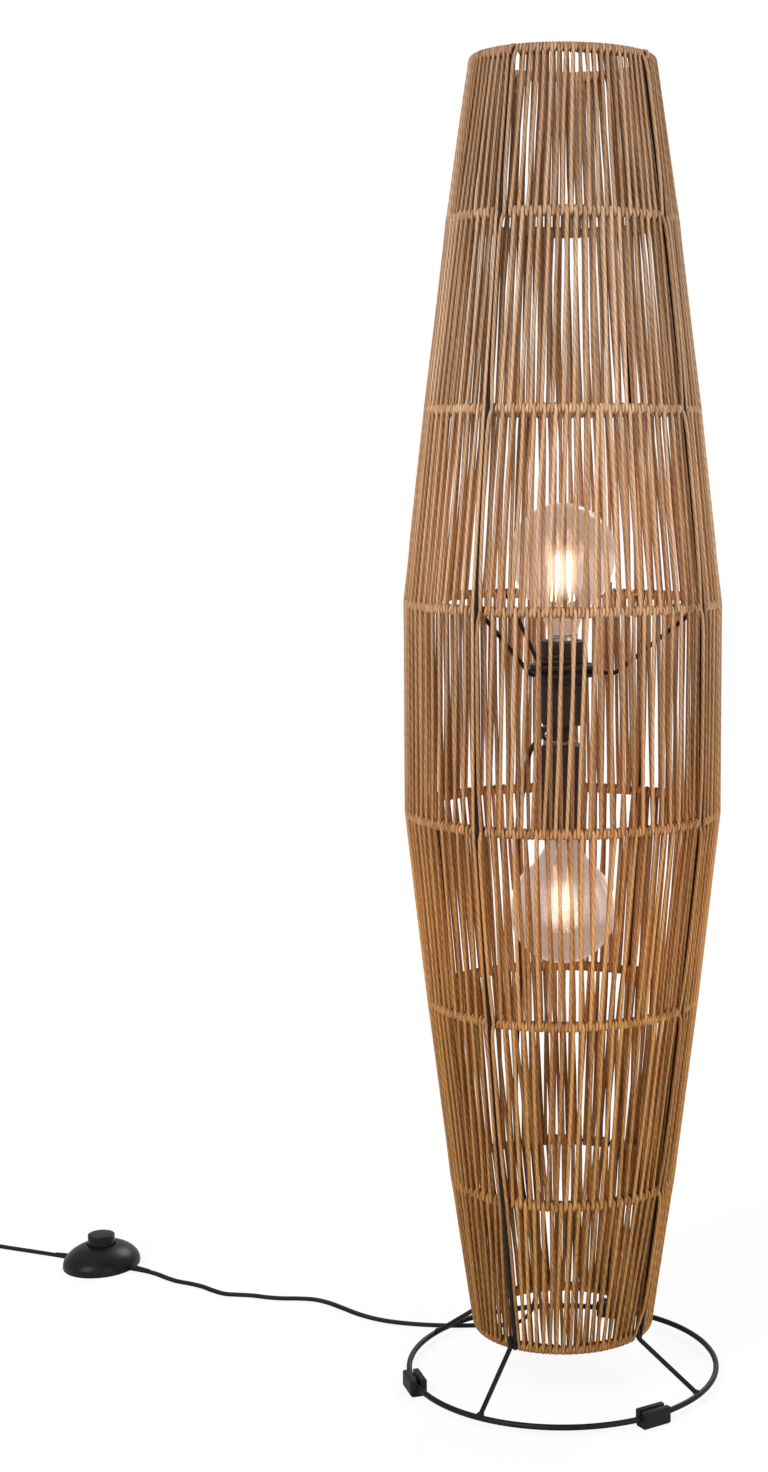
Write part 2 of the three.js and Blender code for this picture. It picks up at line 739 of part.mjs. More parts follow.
function addCoil() {
  const points = coilRoute();
  add('lead_coil', barAlong(points, leadDiameter, coilSides), rubber);
  console.log(`lead_coil: least gap to itself ${leastSelfGap(points, leadDiameter).toFixed(2)} mm`);

  const halfBand = (coilPitch * coilTurns) / 4 + leadDiameter / 2 + tieMargin;
  const low = coilHeight - leadDiameter / 2 - clearance;
  const high = coilHeight + coilLayerStep + leadDiameter / 2 + clearance;
  const frameOf = (margin) => {
    const outline = margin ? new THREE.Shape() : new THREE.Path();
    outline.moveTo(-halfBand - margin, low - margin);
    outline.lineTo(halfBand + margin, low - margin);
    outline.lineTo(halfBand + margin, high + margin);
    outline.lineTo(-halfBand - margin, high + margin);
    outline.closePath();
    return outline;
  };
  const outline = frameOf(tieThickness);
  outline.holes.push(frameOf(0));
  const tie = new THREE.ExtrudeGeometry(outline, { depth: tieWidth, bevelEnabled: false });
  tie.translate(0, 0, -tieWidth / 2);
  tie.rotateX(Math.PI / 2);
  tie.rotateZ(radians(tieAngle));
  const middle = coilRadius - (coilPitch * coilTurns) / 4;
  const turn = radians(tieAngle);
  tie.translate(coilCentre[0] + middle * Math.cos(turn), coilCentre[1] + middle * Math.sin(turn), 0);
  add('coil_tie', tie, rubber);
  return points[points.length - 1];
}

// The two-pin plug lies flat beside the coil, its pins towards the front
function addPlug(leadEnd) {
  const start = leadEnd.y - clearance;
  const root = start - reliefLength;
  const outline = new THREE.Shape();
  const side = plugShares.map(([along, wide]) => [plugHalfWidth * wide - plugBevel, -plugLength * along]);
  const other = side.map(([x, y]) => [-x, y]).reverse();
  [...side, ...other].forEach(([x, y], index) => {
    if (index === 0) outline.moveTo(x, y);
    else outline.lineTo(x, y);
  });
  outline.closePath();
  const body = new THREE.ExtrudeGeometry(outline, {
    depth: plugThickness - 2 * plugBevel,
    bevelThickness: plugBevel,
    bevelSize: plugBevel,
    bevelSegments: 1,
  });
  body.translate(leadEnd.x, root, plugBevel);
  const axis = new THREE.Vector3(leadEnd.x, start, plugThickness / 2);
  const relief = rod(axis, axis.clone().setY(root - reliefOverlap), reliefTip, leadSides, reliefRoot);
  add('plug_body', joined(body, relief), plastic);
  const face = root - plugLength - plugBevel - clearance;
  [['left', -1], ['right', 1]].forEach(([name, way]) => {
    const base = new THREE.Vector3(leadEnd.x + (way * pinSpacing) / 2, face, plugThickness / 2);
    add(`plug_pin_${name}`, rod(base, base.clone().setY(face - pinLength), pinRadius, pinSides), nickel);
  });
}

addRings();
addUprights();
addSpokes();
addFeet();
addWindings();
addCarrier();
addHolder('upper', 1);
addHolder('lower', -1);
addNippleAndGrip();
addBulb('upper', 1);
addBulb('lower', -1);
addLeads();
addSwitch();
addPlug(addCoil());

export default lamp;
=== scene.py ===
import math
import random

import bmesh
import bpy
from mathutils import Matrix, Vector, noise


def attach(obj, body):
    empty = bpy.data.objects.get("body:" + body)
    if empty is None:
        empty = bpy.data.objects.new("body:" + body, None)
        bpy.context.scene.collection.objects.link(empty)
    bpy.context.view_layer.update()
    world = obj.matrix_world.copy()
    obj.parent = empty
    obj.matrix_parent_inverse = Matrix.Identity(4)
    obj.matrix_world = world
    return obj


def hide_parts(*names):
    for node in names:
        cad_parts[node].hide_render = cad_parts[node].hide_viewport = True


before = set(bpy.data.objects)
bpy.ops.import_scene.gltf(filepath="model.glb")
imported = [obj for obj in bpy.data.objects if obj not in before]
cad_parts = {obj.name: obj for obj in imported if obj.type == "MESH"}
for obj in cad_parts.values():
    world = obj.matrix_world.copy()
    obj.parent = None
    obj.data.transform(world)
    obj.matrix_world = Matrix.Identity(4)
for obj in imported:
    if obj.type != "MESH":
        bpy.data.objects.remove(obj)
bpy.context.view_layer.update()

scene = bpy.context.scene
scene.view_settings.view_transform = "Standard"

# The shade: the radius and the height of each wire ring, from the top
RING_RADII = [0.076, 0.0955, 0.1155, 0.134, 0.134, 0.1155, 0.0955, 0.076]
RING_HEIGHTS = [1.1555, 1.0215, 0.8605, 0.6945, 0.5115, 0.3455, 0.1845, 0.0505]
RING_WIRE = 0.003
UPRIGHT_WIRE = 0.004
SPOKE_WIRE = 0.0042
ARM_WIRE = 0.004
UPRIGHT_OFFSET = 0.0038
# A packed ring has 32 sides, and the middle of a side lies nearer than the ring's radius by this share
SEAT_SHARE = math.cos(math.pi / 32)
LAST_RING = len(RING_RADII) - 1
UPRIGHT_ANGLES = {"front_left": -31, "front_right": 59, "back_right": 149, "back_left": -121}
ARM_ANGLES = {"front_left": -31, "front_right": 59, "back": -157}

# The cord, pressed wider where it turns round the two crowded rings that have no room for a second turn
CORD = 0.00315
PRESSED_CORD = 0.0037
# The winding: loops between two uprights, and the share of a loop's step by which turns lean at each ring
LOOPS = [21, 21, 22, 23, 22, 20, 20]
ROOMY, CROWDED = 0.34, 0.5
RING_SHARES = [ROOMY, CROWDED, ROOMY, ROOMY, ROOMY, ROOMY, CROWDED, ROOMY]
TURN_SHARE = 0.16
# How far strands run out of true, in millimetres: in a bow along the ring, in one outwards, and at each point
SWAY, SWELL, WANDER = 1.1, 0.35, 0.28
# How far their turns stray along a ring, in millimetres, and the least room in metres that they stray in
STRAY, TURN_STRAY, LEAST_ROOM = 0.75, 0.3, 0.00012
# The cord's middle, measured from the middle of a ring's wire, and round the ring from an upright's middle
WRAP = 0.0033
BESIDE_WIRE = 0.0036
BEHIND_WIRE = 0.0022
BESIDE_TAB = 0.0098
OVER_WIRE = 0.0021

# The base
BASE_RADIUS = 0.138
BASE_ROD = 0.005
BASE_HEIGHT = 0.0075
SPOKE_TAB = 0.009
FEET = ["foot_left", "foot_front", "foot_back"]
# Half sizes of the beads of weld at a spoke's two ends
BASE_WELD = (0.0031, 0.0031, 0.0023)
TAB_WELD = (0.0016, 0.0016, 0.0030)

# The pair of lampholders, measured from the middle of the pair
PAIR_HEIGHT = 0.578
HOLDER_BACK = 0.0085
HOLDER_MOUTH = 0.083
HOLDER_JOINT = 0.0455
HOLDER_RADIUS = 0.0205
HOLDER_WALL = 0.0025
HOLDER_FLOOR = 0.004
HOLDER_HOLE = 0.0053
SKIRT_RADIUS = 0.02
SKIRT_BORE = 0.0148
SHELL_WALL = 0.0005
THREAD_DEPTH = 0.0008
THREAD_PITCH = 0.0046
CARRIER_HEIGHT = 0.057
CARRIER_RADIUS = 0.029
WASHER = 0.002
CLAMP_RADIUS = 0.0288
CLAMP_HEIGHT = 0.004
ARM_REACH = 0.056
ARM_RING = 3
NIPPLE_RADIUS = 0.005
NIPPLE_BORE = 0.0035
NIPPLE_PITCH = 0.001

# A globe bulb, measured up from its contact
BULB_INSERTION = 0.021
BULB_LENGTH = 0.141
GLOBE_RADIUS = 0.0475
GLASS_WALL = 0.001
NECK_RADIUS = 0.0132
CAP_LENGTH = 0.027
CAP_RADIUS = 0.0131
CAP_PITCH = 0.00362
FILAMENT_TOP = 0.066
FILAMENT_LENGTH = 0.038
FILAMENT_SPLAY = {"upper": 0.004, "lower": 0.0042}
FILAMENT_HUB = {"upper": 0.0085, "lower": 0.0058}

# The mains lead, a flat two-core cord, and the foot switch on it
LEAD_WIDTH = 0.0054
LEAD_HEIGHT = 0.0034
LEAD_DIP = 0.14
SWITCH_PLACE = (-0.47, 0.27)
SWITCH_TURN = -25
SWITCH_LENGTH = 0.037
SWITCH_WIDTH = 0.042
SWITCH_HEIGHT = 0.0224
BUTTON_RADIUS = 0.0135
BUTTON_TOP = 0.033

# The spare lead, wound in two layers, its tie and its plug
COIL_CENTRE = (-0.65, 0.303)
COIL_RADIUS = 0.039
COIL_START = 68
COIL_PITCH = 0.006
COIL_TURNS = 6
COIL_HEIGHT = 0.0034
COIL_LAYER = 0.0046
COIL_CLIMB = 0.5
COIL_STEPS = 24
TAIL_RADIUS = 0.052
TAIL_END = 180
TAIL_STEPS = 7
TAIL_STRAIGHT = 0.008
TIE_WIDTH = 0.006
TIE_THICKNESS = 0.0008
TIE_CORNER = 0.0024
TIE_REACH = 0.0029
TIE_RISE = 0.0023
PLUG_THICKNESS = 0.0137
PLUG_LENGTH = 0.036
PLUG_HALF_WIDTH = 0.0176
PIN_SPREAD = 0.0186
RELIEF_LENGTH = 0.022

# The lead's route, in millimetres: from the cord grip down inside the shade and over the floor
ROUTE_TO_SWITCH = [
    (-19.0, 0.0, 575.7), (-24.3, 0.3, 570.0), (-28.6, 1.2, 563.2), (-31.0, 3.2, 554.0),
    (-32.6, 6.5, 541.0), (-36.0, 13.0, 522.0), (-39.6, 21.0, 498.0), (-40.4, 30.0, 466.0),
    (-39.2, 37.0, 428.0), (-37.6, 40.5, 388.0), (-38.2, 41.5, 350.0), (-41.0, 43.0, 312.0),
    (-42.8, 45.0, 260.0), (-42.6, 47.0, 205.0), (-39.0, 49.0, 166.0), (-33.0, 52.0, 128.0),
    (-27.0, 56.0, 90.0), (-24.0, 61.0, 58.0), (-26.5, 68.0, 37.0), (-33.0, 79.0, 20.5),
    (-43.5, 91.0, 9.0), (-59.0, 100.0, 3.0), (-80.0, 103.0, 2.0), (-105.0, 102.5, 2.0),
    (-130.0, 104.5, 2.0), (-156.0, 110.0, 2.0), (-177.0, 118.5, 2.0), (-196.0, 131.5, 2.0),
    (-213.0, 147.5, 2.0), (-228.0, 161.0, 2.0), (-243.0, 169.5, 2.0), (-259.0, 172.0, 2.0),
    (-275.0, 172.5, 2.0), (-290.0, 175.5, 2.0), (-304.0, 180.0, 2.0), (-318.0, 182.0, 2.0),
    (-332.0, 184.5, 2.0), (-345.0, 193.5, 2.0), (-357.0, 204.0, 2.0), (-370.0, 212.0, 2.0),
    (-384.0, 218.5, 2.0), (-396.0, 227.5, 2.0), (-408.0, 238.5, 2.0), (-421.0, 247.2, 2.0),
    (-438.2, 255.2, 2.0),
]
ROUTE_TO_PLUG = [
    (-501.8, 284.8, 2.0), (-519.0, 292.4, 2.0), (-535.0, 299.0, 2.0), (-552.0, 305.9, 2.0),
    (-570.0, 313.0, 2.0), (-588.0, 320.1, 2.2), (-604.0, 326.6, 2.7), (-619.0, 332.6, 3.2),
    (-634.6, 338.8, 3.4),
]
MILLIMETRE = 0.001
# The first of its points that lies on the floor, the height that counts as lying there, and how far such
# a point is let down so that the lead touches the floor
LYING_FROM = 22
ON_FLOOR, LET_DOWN = 2.3, 0.25

# The photograph's camera: its place, its tilt down, and its lens on a frame 24 mm high
CAMERA_PLACE = (0, -1.9912, 0.8241)
CAMERA_TILT = 5.521
CAMERA_LENS = 37.2515
CAMERA_SHIFT = (-0.1214, -0.0423)

# The clearance between pieces that fit together
CLEARANCE = 0.0003

UP = Vector((0, 0, 1))
ON_SIDE = Matrix.Rotation(math.radians(90), 4, "X")
TINY = 1e-7
NEARLY_STRAIGHT = 0.985


def place(radius, angle, height):
    """A point at a radius, an angle from the front towards +X, and a height."""
    turn = math.radians(angle)
    return Vector((radius * math.sin(turn), -radius * math.cos(turn), height))


def directions(angle):
    """The level directions round the lamp and out from it at an angle."""
    turn = math.radians(angle)
    return Vector((math.cos(turn), math.sin(turn), 0)), Vector((math.sin(turn), -math.cos(turn), 0))


def add_camera():
    data = bpy.data.cameras.new("camera")
    data.sensor_fit = "VERTICAL"
    data.sensor_height = 24
    data.lens = CAMERA_LENS
    data.shift_x, data.shift_y = CAMERA_SHIFT
    camera = bpy.data.objects.new("camera", data)
    camera.location = CAMERA_PLACE
    camera.rotation_euler = (math.radians(90 - CAMERA_TILT), 0, 0)
    scene.collection.objects.link(camera)
    scene.camera = camera


# Meshes

def linked(name, mesh):
    """An object of its own for a mesh, with the same name."""
    mesh.name = name
    piece = bpy.data.objects.new(name, mesh)
    scene.collection.objects.link(piece)
    return piece


def facing_out(mesh):
    """Turns a closed mesh's faces over when they point inwards."""
    work = bmesh.new()
    work.from_mesh(mesh)
    if work.calc_volume(signed=True) < 0:
        mesh.flip_normals()
    work.free()
    return mesh


def shaded(mesh, sharp=38):
    """Smooth shading, with the edges over an angle left sharp."""
    mesh.shade_smooth()
    mesh.set_sharp_from_angle(angle=math.radians(sharp))
    return mesh


def mesh_of(places, faces, sharp=38):
    mesh = bpy.data.meshes.new("shape")
    mesh.from_pydata([tuple(point) for point in places], [], faces)
    mesh.validate()
    return shaded(facing_out(mesh), sharp)


def mesh_from(work):
    mesh = bpy.data.meshes.new("shape")
    work.to_mesh(mesh)
    work.free()
    return mesh


def joined(meshes, sharp=38):
    """Several meshes as one."""
    work = bmesh.new()
    for mesh in meshes:
        work.from_mesh(mesh)
        bpy.data.meshes.remove(mesh)
    return shaded(mesh_from(work), sharp)


def moved(mesh, matrix):
    mesh.transform(matrix)
    return mesh


def rows_of(count, around):
    return [list(range(row * around, (row + 1) * around)) for row in range(count)]


def skin(rows, closed=False):
    """The faces over rows of point numbers. A pole is a row that repeats one number.

    The last row joins the first when closed. Otherwise each end that isn't a pole gets a flat face.
    """
    faces = []
    for low, high in zip(rows, rows[1:] + rows[:closed]):
        for corners in zip(low, low[1:] + low[:1], high[1:] + high[:1], high):
            faces.append([corner for spot, corner in enumerate(corners) if corner != corners[spot - 1]])
    if not closed:
        faces += [rows[0], rows[-1][::-1]]
    return [face for face in faces if len(set(face)) > 2]


def rounded_corner(before, corner, after, radius, steps):
    """The points that take a corner's place: a curve that reaches a radius, or nearly half of either side."""
    back, on = before - corner, after - corner
    reach = min(radius, back.length * 0.45, on.length * 0.45)
    start, end = corner + back.normalized() * reach, corner + on.normalized() * reach
    shares = [step / steps for step in range(steps + 1)]
    return [start.lerp(corner, share).lerp(corner.lerp(end, share), share) for share in shares]


def softened(profile, radius, steps=3, closed=False):
    """The same (radius, height) pairs with the inner corners rounded. A closed run ends where it starts."""
    if closed:
        profile = profile + profile[:1]
    made = [profile[0]]
    for before, here, after in zip(profile, profile[1:], profile[2:]):
        corner = Vector(here)
        back, on = Vector(before) - corner, Vector(after) - corner
        short = min(back.length, on.length) < TINY
        if short or abs(back.normalized().dot(on.normalized())) > NEARLY_STRAIGHT:
            made.append(here)
        else:
            curve = rounded_corner(Vector(before), corner, Vector(after), radius, steps)
            made += [tuple(point) for point in curve]
    made.append(profile[-1])
    return made


def turned(profile, steps=64, shape=None, sharp=38):
    """A solid of revolution. shape(radius, height, angle) may change the radius, for a thread or a knurl."""
    closed = profile[0][0] > TINY
    rows = profile[:-1] if closed and profile[0] == profile[-1] else profile
    places, index = [], []
    for radius, height in rows:
        if radius < TINY:
            index.append([len(places)] * steps)
            places.append((0, 0, height))
            continue
        index.append(list(range(len(places), len(places) + steps)))
        for step in range(steps):
            angle = 2 * math.pi * step / steps
            across = shape(radius, height, angle) if shape else radius
            places.append((across * math.cos(angle), across * math.sin(angle), height))
    return mesh_of(places, skin(index, closed), sharp)


def softened_copy(name, width, segments=3):
    """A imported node's shape with its sharp edges rounded."""
    work = bmesh.new()
    work.from_mesh(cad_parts[name].data)
    bmesh.ops.remove_doubles(work, verts=work.verts, dist=1e-6)
    bmesh.ops.dissolve_limit(work, angle_limit=math.radians(1), verts=work.verts, edges=work.edges)
    corners = [edge for edge in work.edges if edge.is_manifold and edge.calc_face_angle() > math.radians(30)]
    bmesh.ops.bevel(work, geom=corners, offset=width, segments=segments, profile=0.5, affect="EDGES",
                    clamp_overlap=True)
    bmesh.ops.triangulate(work, faces=work.faces)
    return shaded(facing_out(mesh_from(work)), 40)


def settle(piece, slot, nodes=(), body="lamp"):
    """Gives a finished piece its slot's material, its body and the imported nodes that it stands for."""
    piece.data.materials.clear()
    piece.data.materials.append(FINISHES[slot])
    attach(piece, body)
    if nodes:
        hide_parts(*nodes)
    return piece


def solid(name, mesh, slot, nodes=(), body="lamp"):
    return settle(linked(name, mesh), slot, nodes, body)


# Node trees

class Node:
    """A node with its settings, and its inputs set to a value or joined to another node's output."""

    def __init__(self, tree, kind, sockets=None, **settings):
        self.made = tree.nodes.new(kind)
        for key, value in settings.items():
            setattr(self.made, key, value)
        for key, value in (sockets or {}).items():
            self.put(key, value)

    def put(self, key, value):
        if isinstance(value, Value):
            self.made.id_data.links.new(value.socket, self.made.inputs[key])
        else:
            self.made.inputs[key].default_value = value

    def __getitem__(self, key):
        return Value(self.made.outputs[key])


class Value:
    """A node's output, which can be worked with like a number, a place or a colour."""

    def __init__(self, socket):
        self.socket = socket

    def node(self, kind, sockets, **settings):
        return Node(self.socket.id_data, kind, sockets, **settings)

    def math(self, operation, *others):
        return self.node("ShaderNodeMath", dict(enumerate((self, *others))), operation=operation)[0]

    def vector(self, operation, *others):
        made = self.node("ShaderNodeVectorMath", dict(enumerate((self, *others))), operation=operation)
        return made["Value" if operation in ("DISTANCE", "DOT_PRODUCT") else "Vector"]

    def __sub__(self, other):
        return self.math("SUBTRACT", other)

    def __mul__(self, other):
        return self.math("MULTIPLY", other)

    def __pow__(self, other):
        return self.math("POWER", other)

    def __abs__(self):
        return self.math("ABSOLUTE")

    def axis(self, name):
        return self.node("ShaderNodeSeparateXYZ", {"Vector": self})[name]

    def levelled(self):
        """The level direction from the lamp's middle line to a place."""
        return self.vector("MULTIPLY", (1, 1, 0)).vector("NORMALIZE")

    def fourfold(self):
        """1 in front, behind and at both sides of the lamp's middle line, and -1 halfway between them."""
        across = self.levelled().axis("X")
        square = across * across
        return (square * (square - 1.0)).math("MULTIPLY_ADD", 8.0, 1.0)

    def speckle(self, scale, detail=3.0, roughness=0.5):
        return self.node("ShaderNodeTexNoise", {
            "Vector": self, "Scale": scale, "Detail": detail, "Roughness": roughness})["Fac"]

    def between(self, low, high, own_low=0.0, own_high=1.0):
        """A number that runs from low to high while this one runs from own_low to own_high."""
        made = self.node("ShaderNodeMapRange", {
            "Value": self, "From Min": own_low, "From Max": own_high, "To Min": low, "To Max": high})
        return made["Result"]

    def blend(self, first, second):
        """The first colour where this number is 0, and the second where it is 1."""
        first, second = (value if isinstance(value, Value) else (*value, 1) for value in (first, second))
        return self.node("ShaderNodeMix", {0: self, 6: first, 7: second}, data_type="RGBA")[2]

    def darkened(self, shade):
        sockets = {0: 1.0, 6: self, 7: shade}
        return self.node("ShaderNodeMix", sockets, data_type="RGBA", blend_type="MULTIPLY")[2]

    def with_others(self, second, third):
        """Three numbers as a place."""
        return self.node("ShaderNodeCombineXYZ", {"X": self, "Y": second, "Z": third})["Vector"]

    def colour(self, green, blue):
        return self.node("ShaderNodeCombineColor", {"Red": self, "Green": green, "Blue": blue})["Color"]

    def fading(self, green, blue):
        """A shade of grey that turns browner as it darkens: green and blue fall off by their powers."""
        return self.colour(self ** green, self ** blue)


def captured(tree, geometry, key, value):
    """A curve that keeps a number with each of its points, and that number."""
    kept = Node(tree, "GeometryNodeCaptureAttribute", domain="POINT")
    kept.made.capture_items.new("FLOAT", key)
    kept.put("Geometry", geometry)
    kept.put(key, value)
    return kept["Geometry"], kept[key]


def stored(tree, geometry, key, value, kind, domain):
    return Node(tree, "GeometryNodeStoreNamedAttribute", {"Geometry": geometry, "Name": key, "Value": value},
                data_type=kind, domain=domain)["Geometry"]


def tube_tree(name, wound):
    """Geometry Nodes for a tube along the edges of a mesh, as thick as each point's width.

    A wound tube is open at its ends. It keeps its place round and along itself as UV for the cord's twist,
    and how squarely it faces in or out for the painted shade on its flanks. A plain one has its ends closed.
    """
    tree = bpy.data.node_groups.new(name, "GeometryNodeTree")
    for key, kind in (("Route", "Geometry"), ("Sides", "Int"), ("Finish", "Material")):
        tree.interface.new_socket(key, in_out="INPUT", socket_type=f"NodeSocket{kind}")
    tree.interface.new_socket("Tube", in_out="OUTPUT", socket_type="NodeSocketGeometry")
    given = Node(tree, "NodeGroupInput")
    line = Node(tree, "GeometryNodeMeshToCurve", {"Mesh": given["Route"]})["Curve"]
    width = Node(tree, "GeometryNodeInputNamedAttribute", {"Name": "width"}, data_type="FLOAT")
    half = width["Attribute"] * 0.5
    if wound:
        measure = Node(tree, "GeometryNodeSplineParameter")
        line, along = captured(tree, line, "Along", measure["Length"])
        arc = Node(tree, "GeometryNodeCurveArc", {
            "Resolution": given["Sides"].math("ADD", 1), "Radius": 1.0, "Sweep Angle": 2 * math.pi})
        section, around = captured(tree, arc["Curve"], "Around", measure["Factor"])
    else:
        circle = Node(tree, "GeometryNodeCurvePrimitiveCircle", {"Resolution": given["Sides"], "Radius": 1.0})
        section = circle["Curve"]
    tube = Node(tree, "GeometryNodeCurveToMesh", {
        "Curve": line, "Profile Curve": section, "Scale": half, "Fill Caps": not wound})["Mesh"]
    if wound:
        tube = stored(tree, tube, "UVMap", around.with_others(along, 0.0), "FLOAT2", "CORNER")
        tube = Node(tree, "GeometryNodeMergeByDistance", {"Geometry": tube, "Distance": 1e-6})["Geometry"]
        outward = Node(tree, "GeometryNodeInputPosition")["Position"].levelled()
        facing = abs(Node(tree, "GeometryNodeInputNormal")["Normal"].vector("DOT_PRODUCT", outward))
        tube = stored(tree, tube, "facing", facing, "FLOAT", "POINT")
    tube = Node(tree, "GeometryNodeSetShadeSmooth", {"Geometry": tube, "Shade Smooth": True})["Geometry"]
    tube = Node(tree, "GeometryNodeRealizeInstances", {"Geometry": tube})["Geometry"]
    tube = Node(tree, "GeometryNodeSetMaterial", {"Geometry": tube, "Material": given["Finish"]})["Geometry"]
    Node(tree, "NodeGroupOutput", {"Tube": tube})
    return tree


def route_object(name, routes):
    """An object of edges. A route is (points, closed, width, tint), with one number or a list for the last two."""
    places, edges, widths, tints = [], [], [], []
    for points, closed, width, tint in routes:
        first = len(places)
        places += [tuple(point) for point in points]
        edges += [(first + step, first + step + 1) for step in range(len(points) - 1)]
        if closed:
            edges.append((len(places) - 1, first))
        widths += width if isinstance(width, list) else [width] * len(points)
        tints += tint if isinstance(tint, list) else [tint] * len(points)
    mesh = bpy.data.meshes.new(name)
    mesh.from_pydata(places, edges, [])
    for key, values in (("width", widths), ("tint", tints)):
        mesh.attributes.new(key, "FLOAT", "POINT").data.foreach_set("value", values)
    return linked(name, mesh)


def tube_piece(name, routes, tree, slot, sides, nodes=(), body="lamp", sharp=None):
    """A piece made of tubes: a node tree runs on its routes, and the result stays as its plain mesh."""
    piece = route_object(name, routes)
    modifier = piece.modifiers.new("shape", "NODES")
    modifier.node_group = tree
    values = {"Sides": sides, "Finish": FINISHES[slot]}
    for item in tree.interface.items_tree:
        if item.name in values:
            modifier[item.identifier] = values[item.name]
    depsgraph = bpy.context.evaluated_depsgraph_get()
    made = bpy.data.meshes.new_from_object(
        piece.evaluated_get(depsgraph), preserve_all_data_layers=True, depsgraph=depsgraph)
    piece.modifiers.remove(modifier)
    old, piece.data = piece.data, facing_out(made)
    bpy.data.meshes.remove(old)
    made.name = name
    if sharp:
        shaded(made, sharp)
    return settle(piece, slot, nodes, body)


# Materials

def shader_input(key):
    return key.replace("_", " ").title().replace("Ior", "IOR")


def principled(name, colour, roughness, metallic=0.0, **constants):
    """A new material, its shader, and the place on the object that it colours."""
    material = bpy.data.materials.new(name)
    material.use_nodes = True
    shader = material.node_tree.nodes["Principled BSDF"]
    constants.update(base_color=(*colour, 1), roughness=roughness, metallic=metallic)
    for key, value in constants.items():
        shader.inputs[shader_input(key)].default_value = value
    return material, shader, Node(material.node_tree, "ShaderNodeTexCoord")["Object"]


def feed(shader, **values):
    for key, value in values.items():
        shader.id_data.links.new(value.socket, shader.inputs[shader_input(key)])


def roughened(shader, height, distance):
    bump = height.node("ShaderNodeBump", {"Height": height, "Distance": distance, "Strength": 1.0})
    feed(shader, normal=bump["Normal"])


# Painted light in the cord's colour from the foot to the top: golden brown below, a paler pinkish straw above, as
# the light falls along the shade
CORD_TONES_AND_PAINTED_LIGHT = [
    (0.04, (0.250, 0.108, 0.021)), (0.26, (0.335, 0.150, 0.040)), (0.38, (0.375, 0.163, 0.045)),
    (0.53, (0.362, 0.196, 0.096)), (0.68, (0.440, 0.254, 0.137)), (0.81, (0.425, 0.262, 0.158)),
    (0.95, (0.325, 0.183, 0.101)),
]
TONES_TOP = 1.16
CORD_LIGHTNESS = 1.36
PLIES = 3.0
PLY_LENGTH = 0.0093
# How dark the painted shade between neighbouring strands leaves a cord's flanks
SIDE_SHADE = 0.76
# A painted warm glow in the cord's emission near the bulbs: the middles of their globes, and how far it reaches
PAINTED_GLOW_HEIGHTS = (PAIR_HEIGHT + 0.1555, PAIR_HEIGHT - 0.1555)
PAINTED_GLOW_NEAR, PAINTED_GLOW_FAR = 0.105, 0.165
PAINTED_GLOW_STRENGTH = 0.17
# Painted hot spots in the cord's emission at the filaments' heights, in front, behind and at both sides, and how
# strong each is
PAINTED_HOT_SPOTS = ((0.7275, 0.75), (0.458, 0.28))
PAINTED_HOT_NEAR, PAINTED_HOT_FAR = 0.008, 0.024
# Painted light on the glass: a band with painted reflections and highlights at the filaments' heights, and how far
# it reaches
FILAMENT_HEIGHTS = (PAIR_HEIGHT + 0.1430, PAIR_HEIGHT - 0.1430)
PAINTED_GLASS_NEAR, PAINTED_GLASS_FAR = 0.011, 0.021
# Painted warm light: plastic higher up in the shade is coloured brown, and stays black near the foot and on the
# floor
PAINTED_WARM_FROM, PAINTED_WARM_TO = 0.3, 0.35


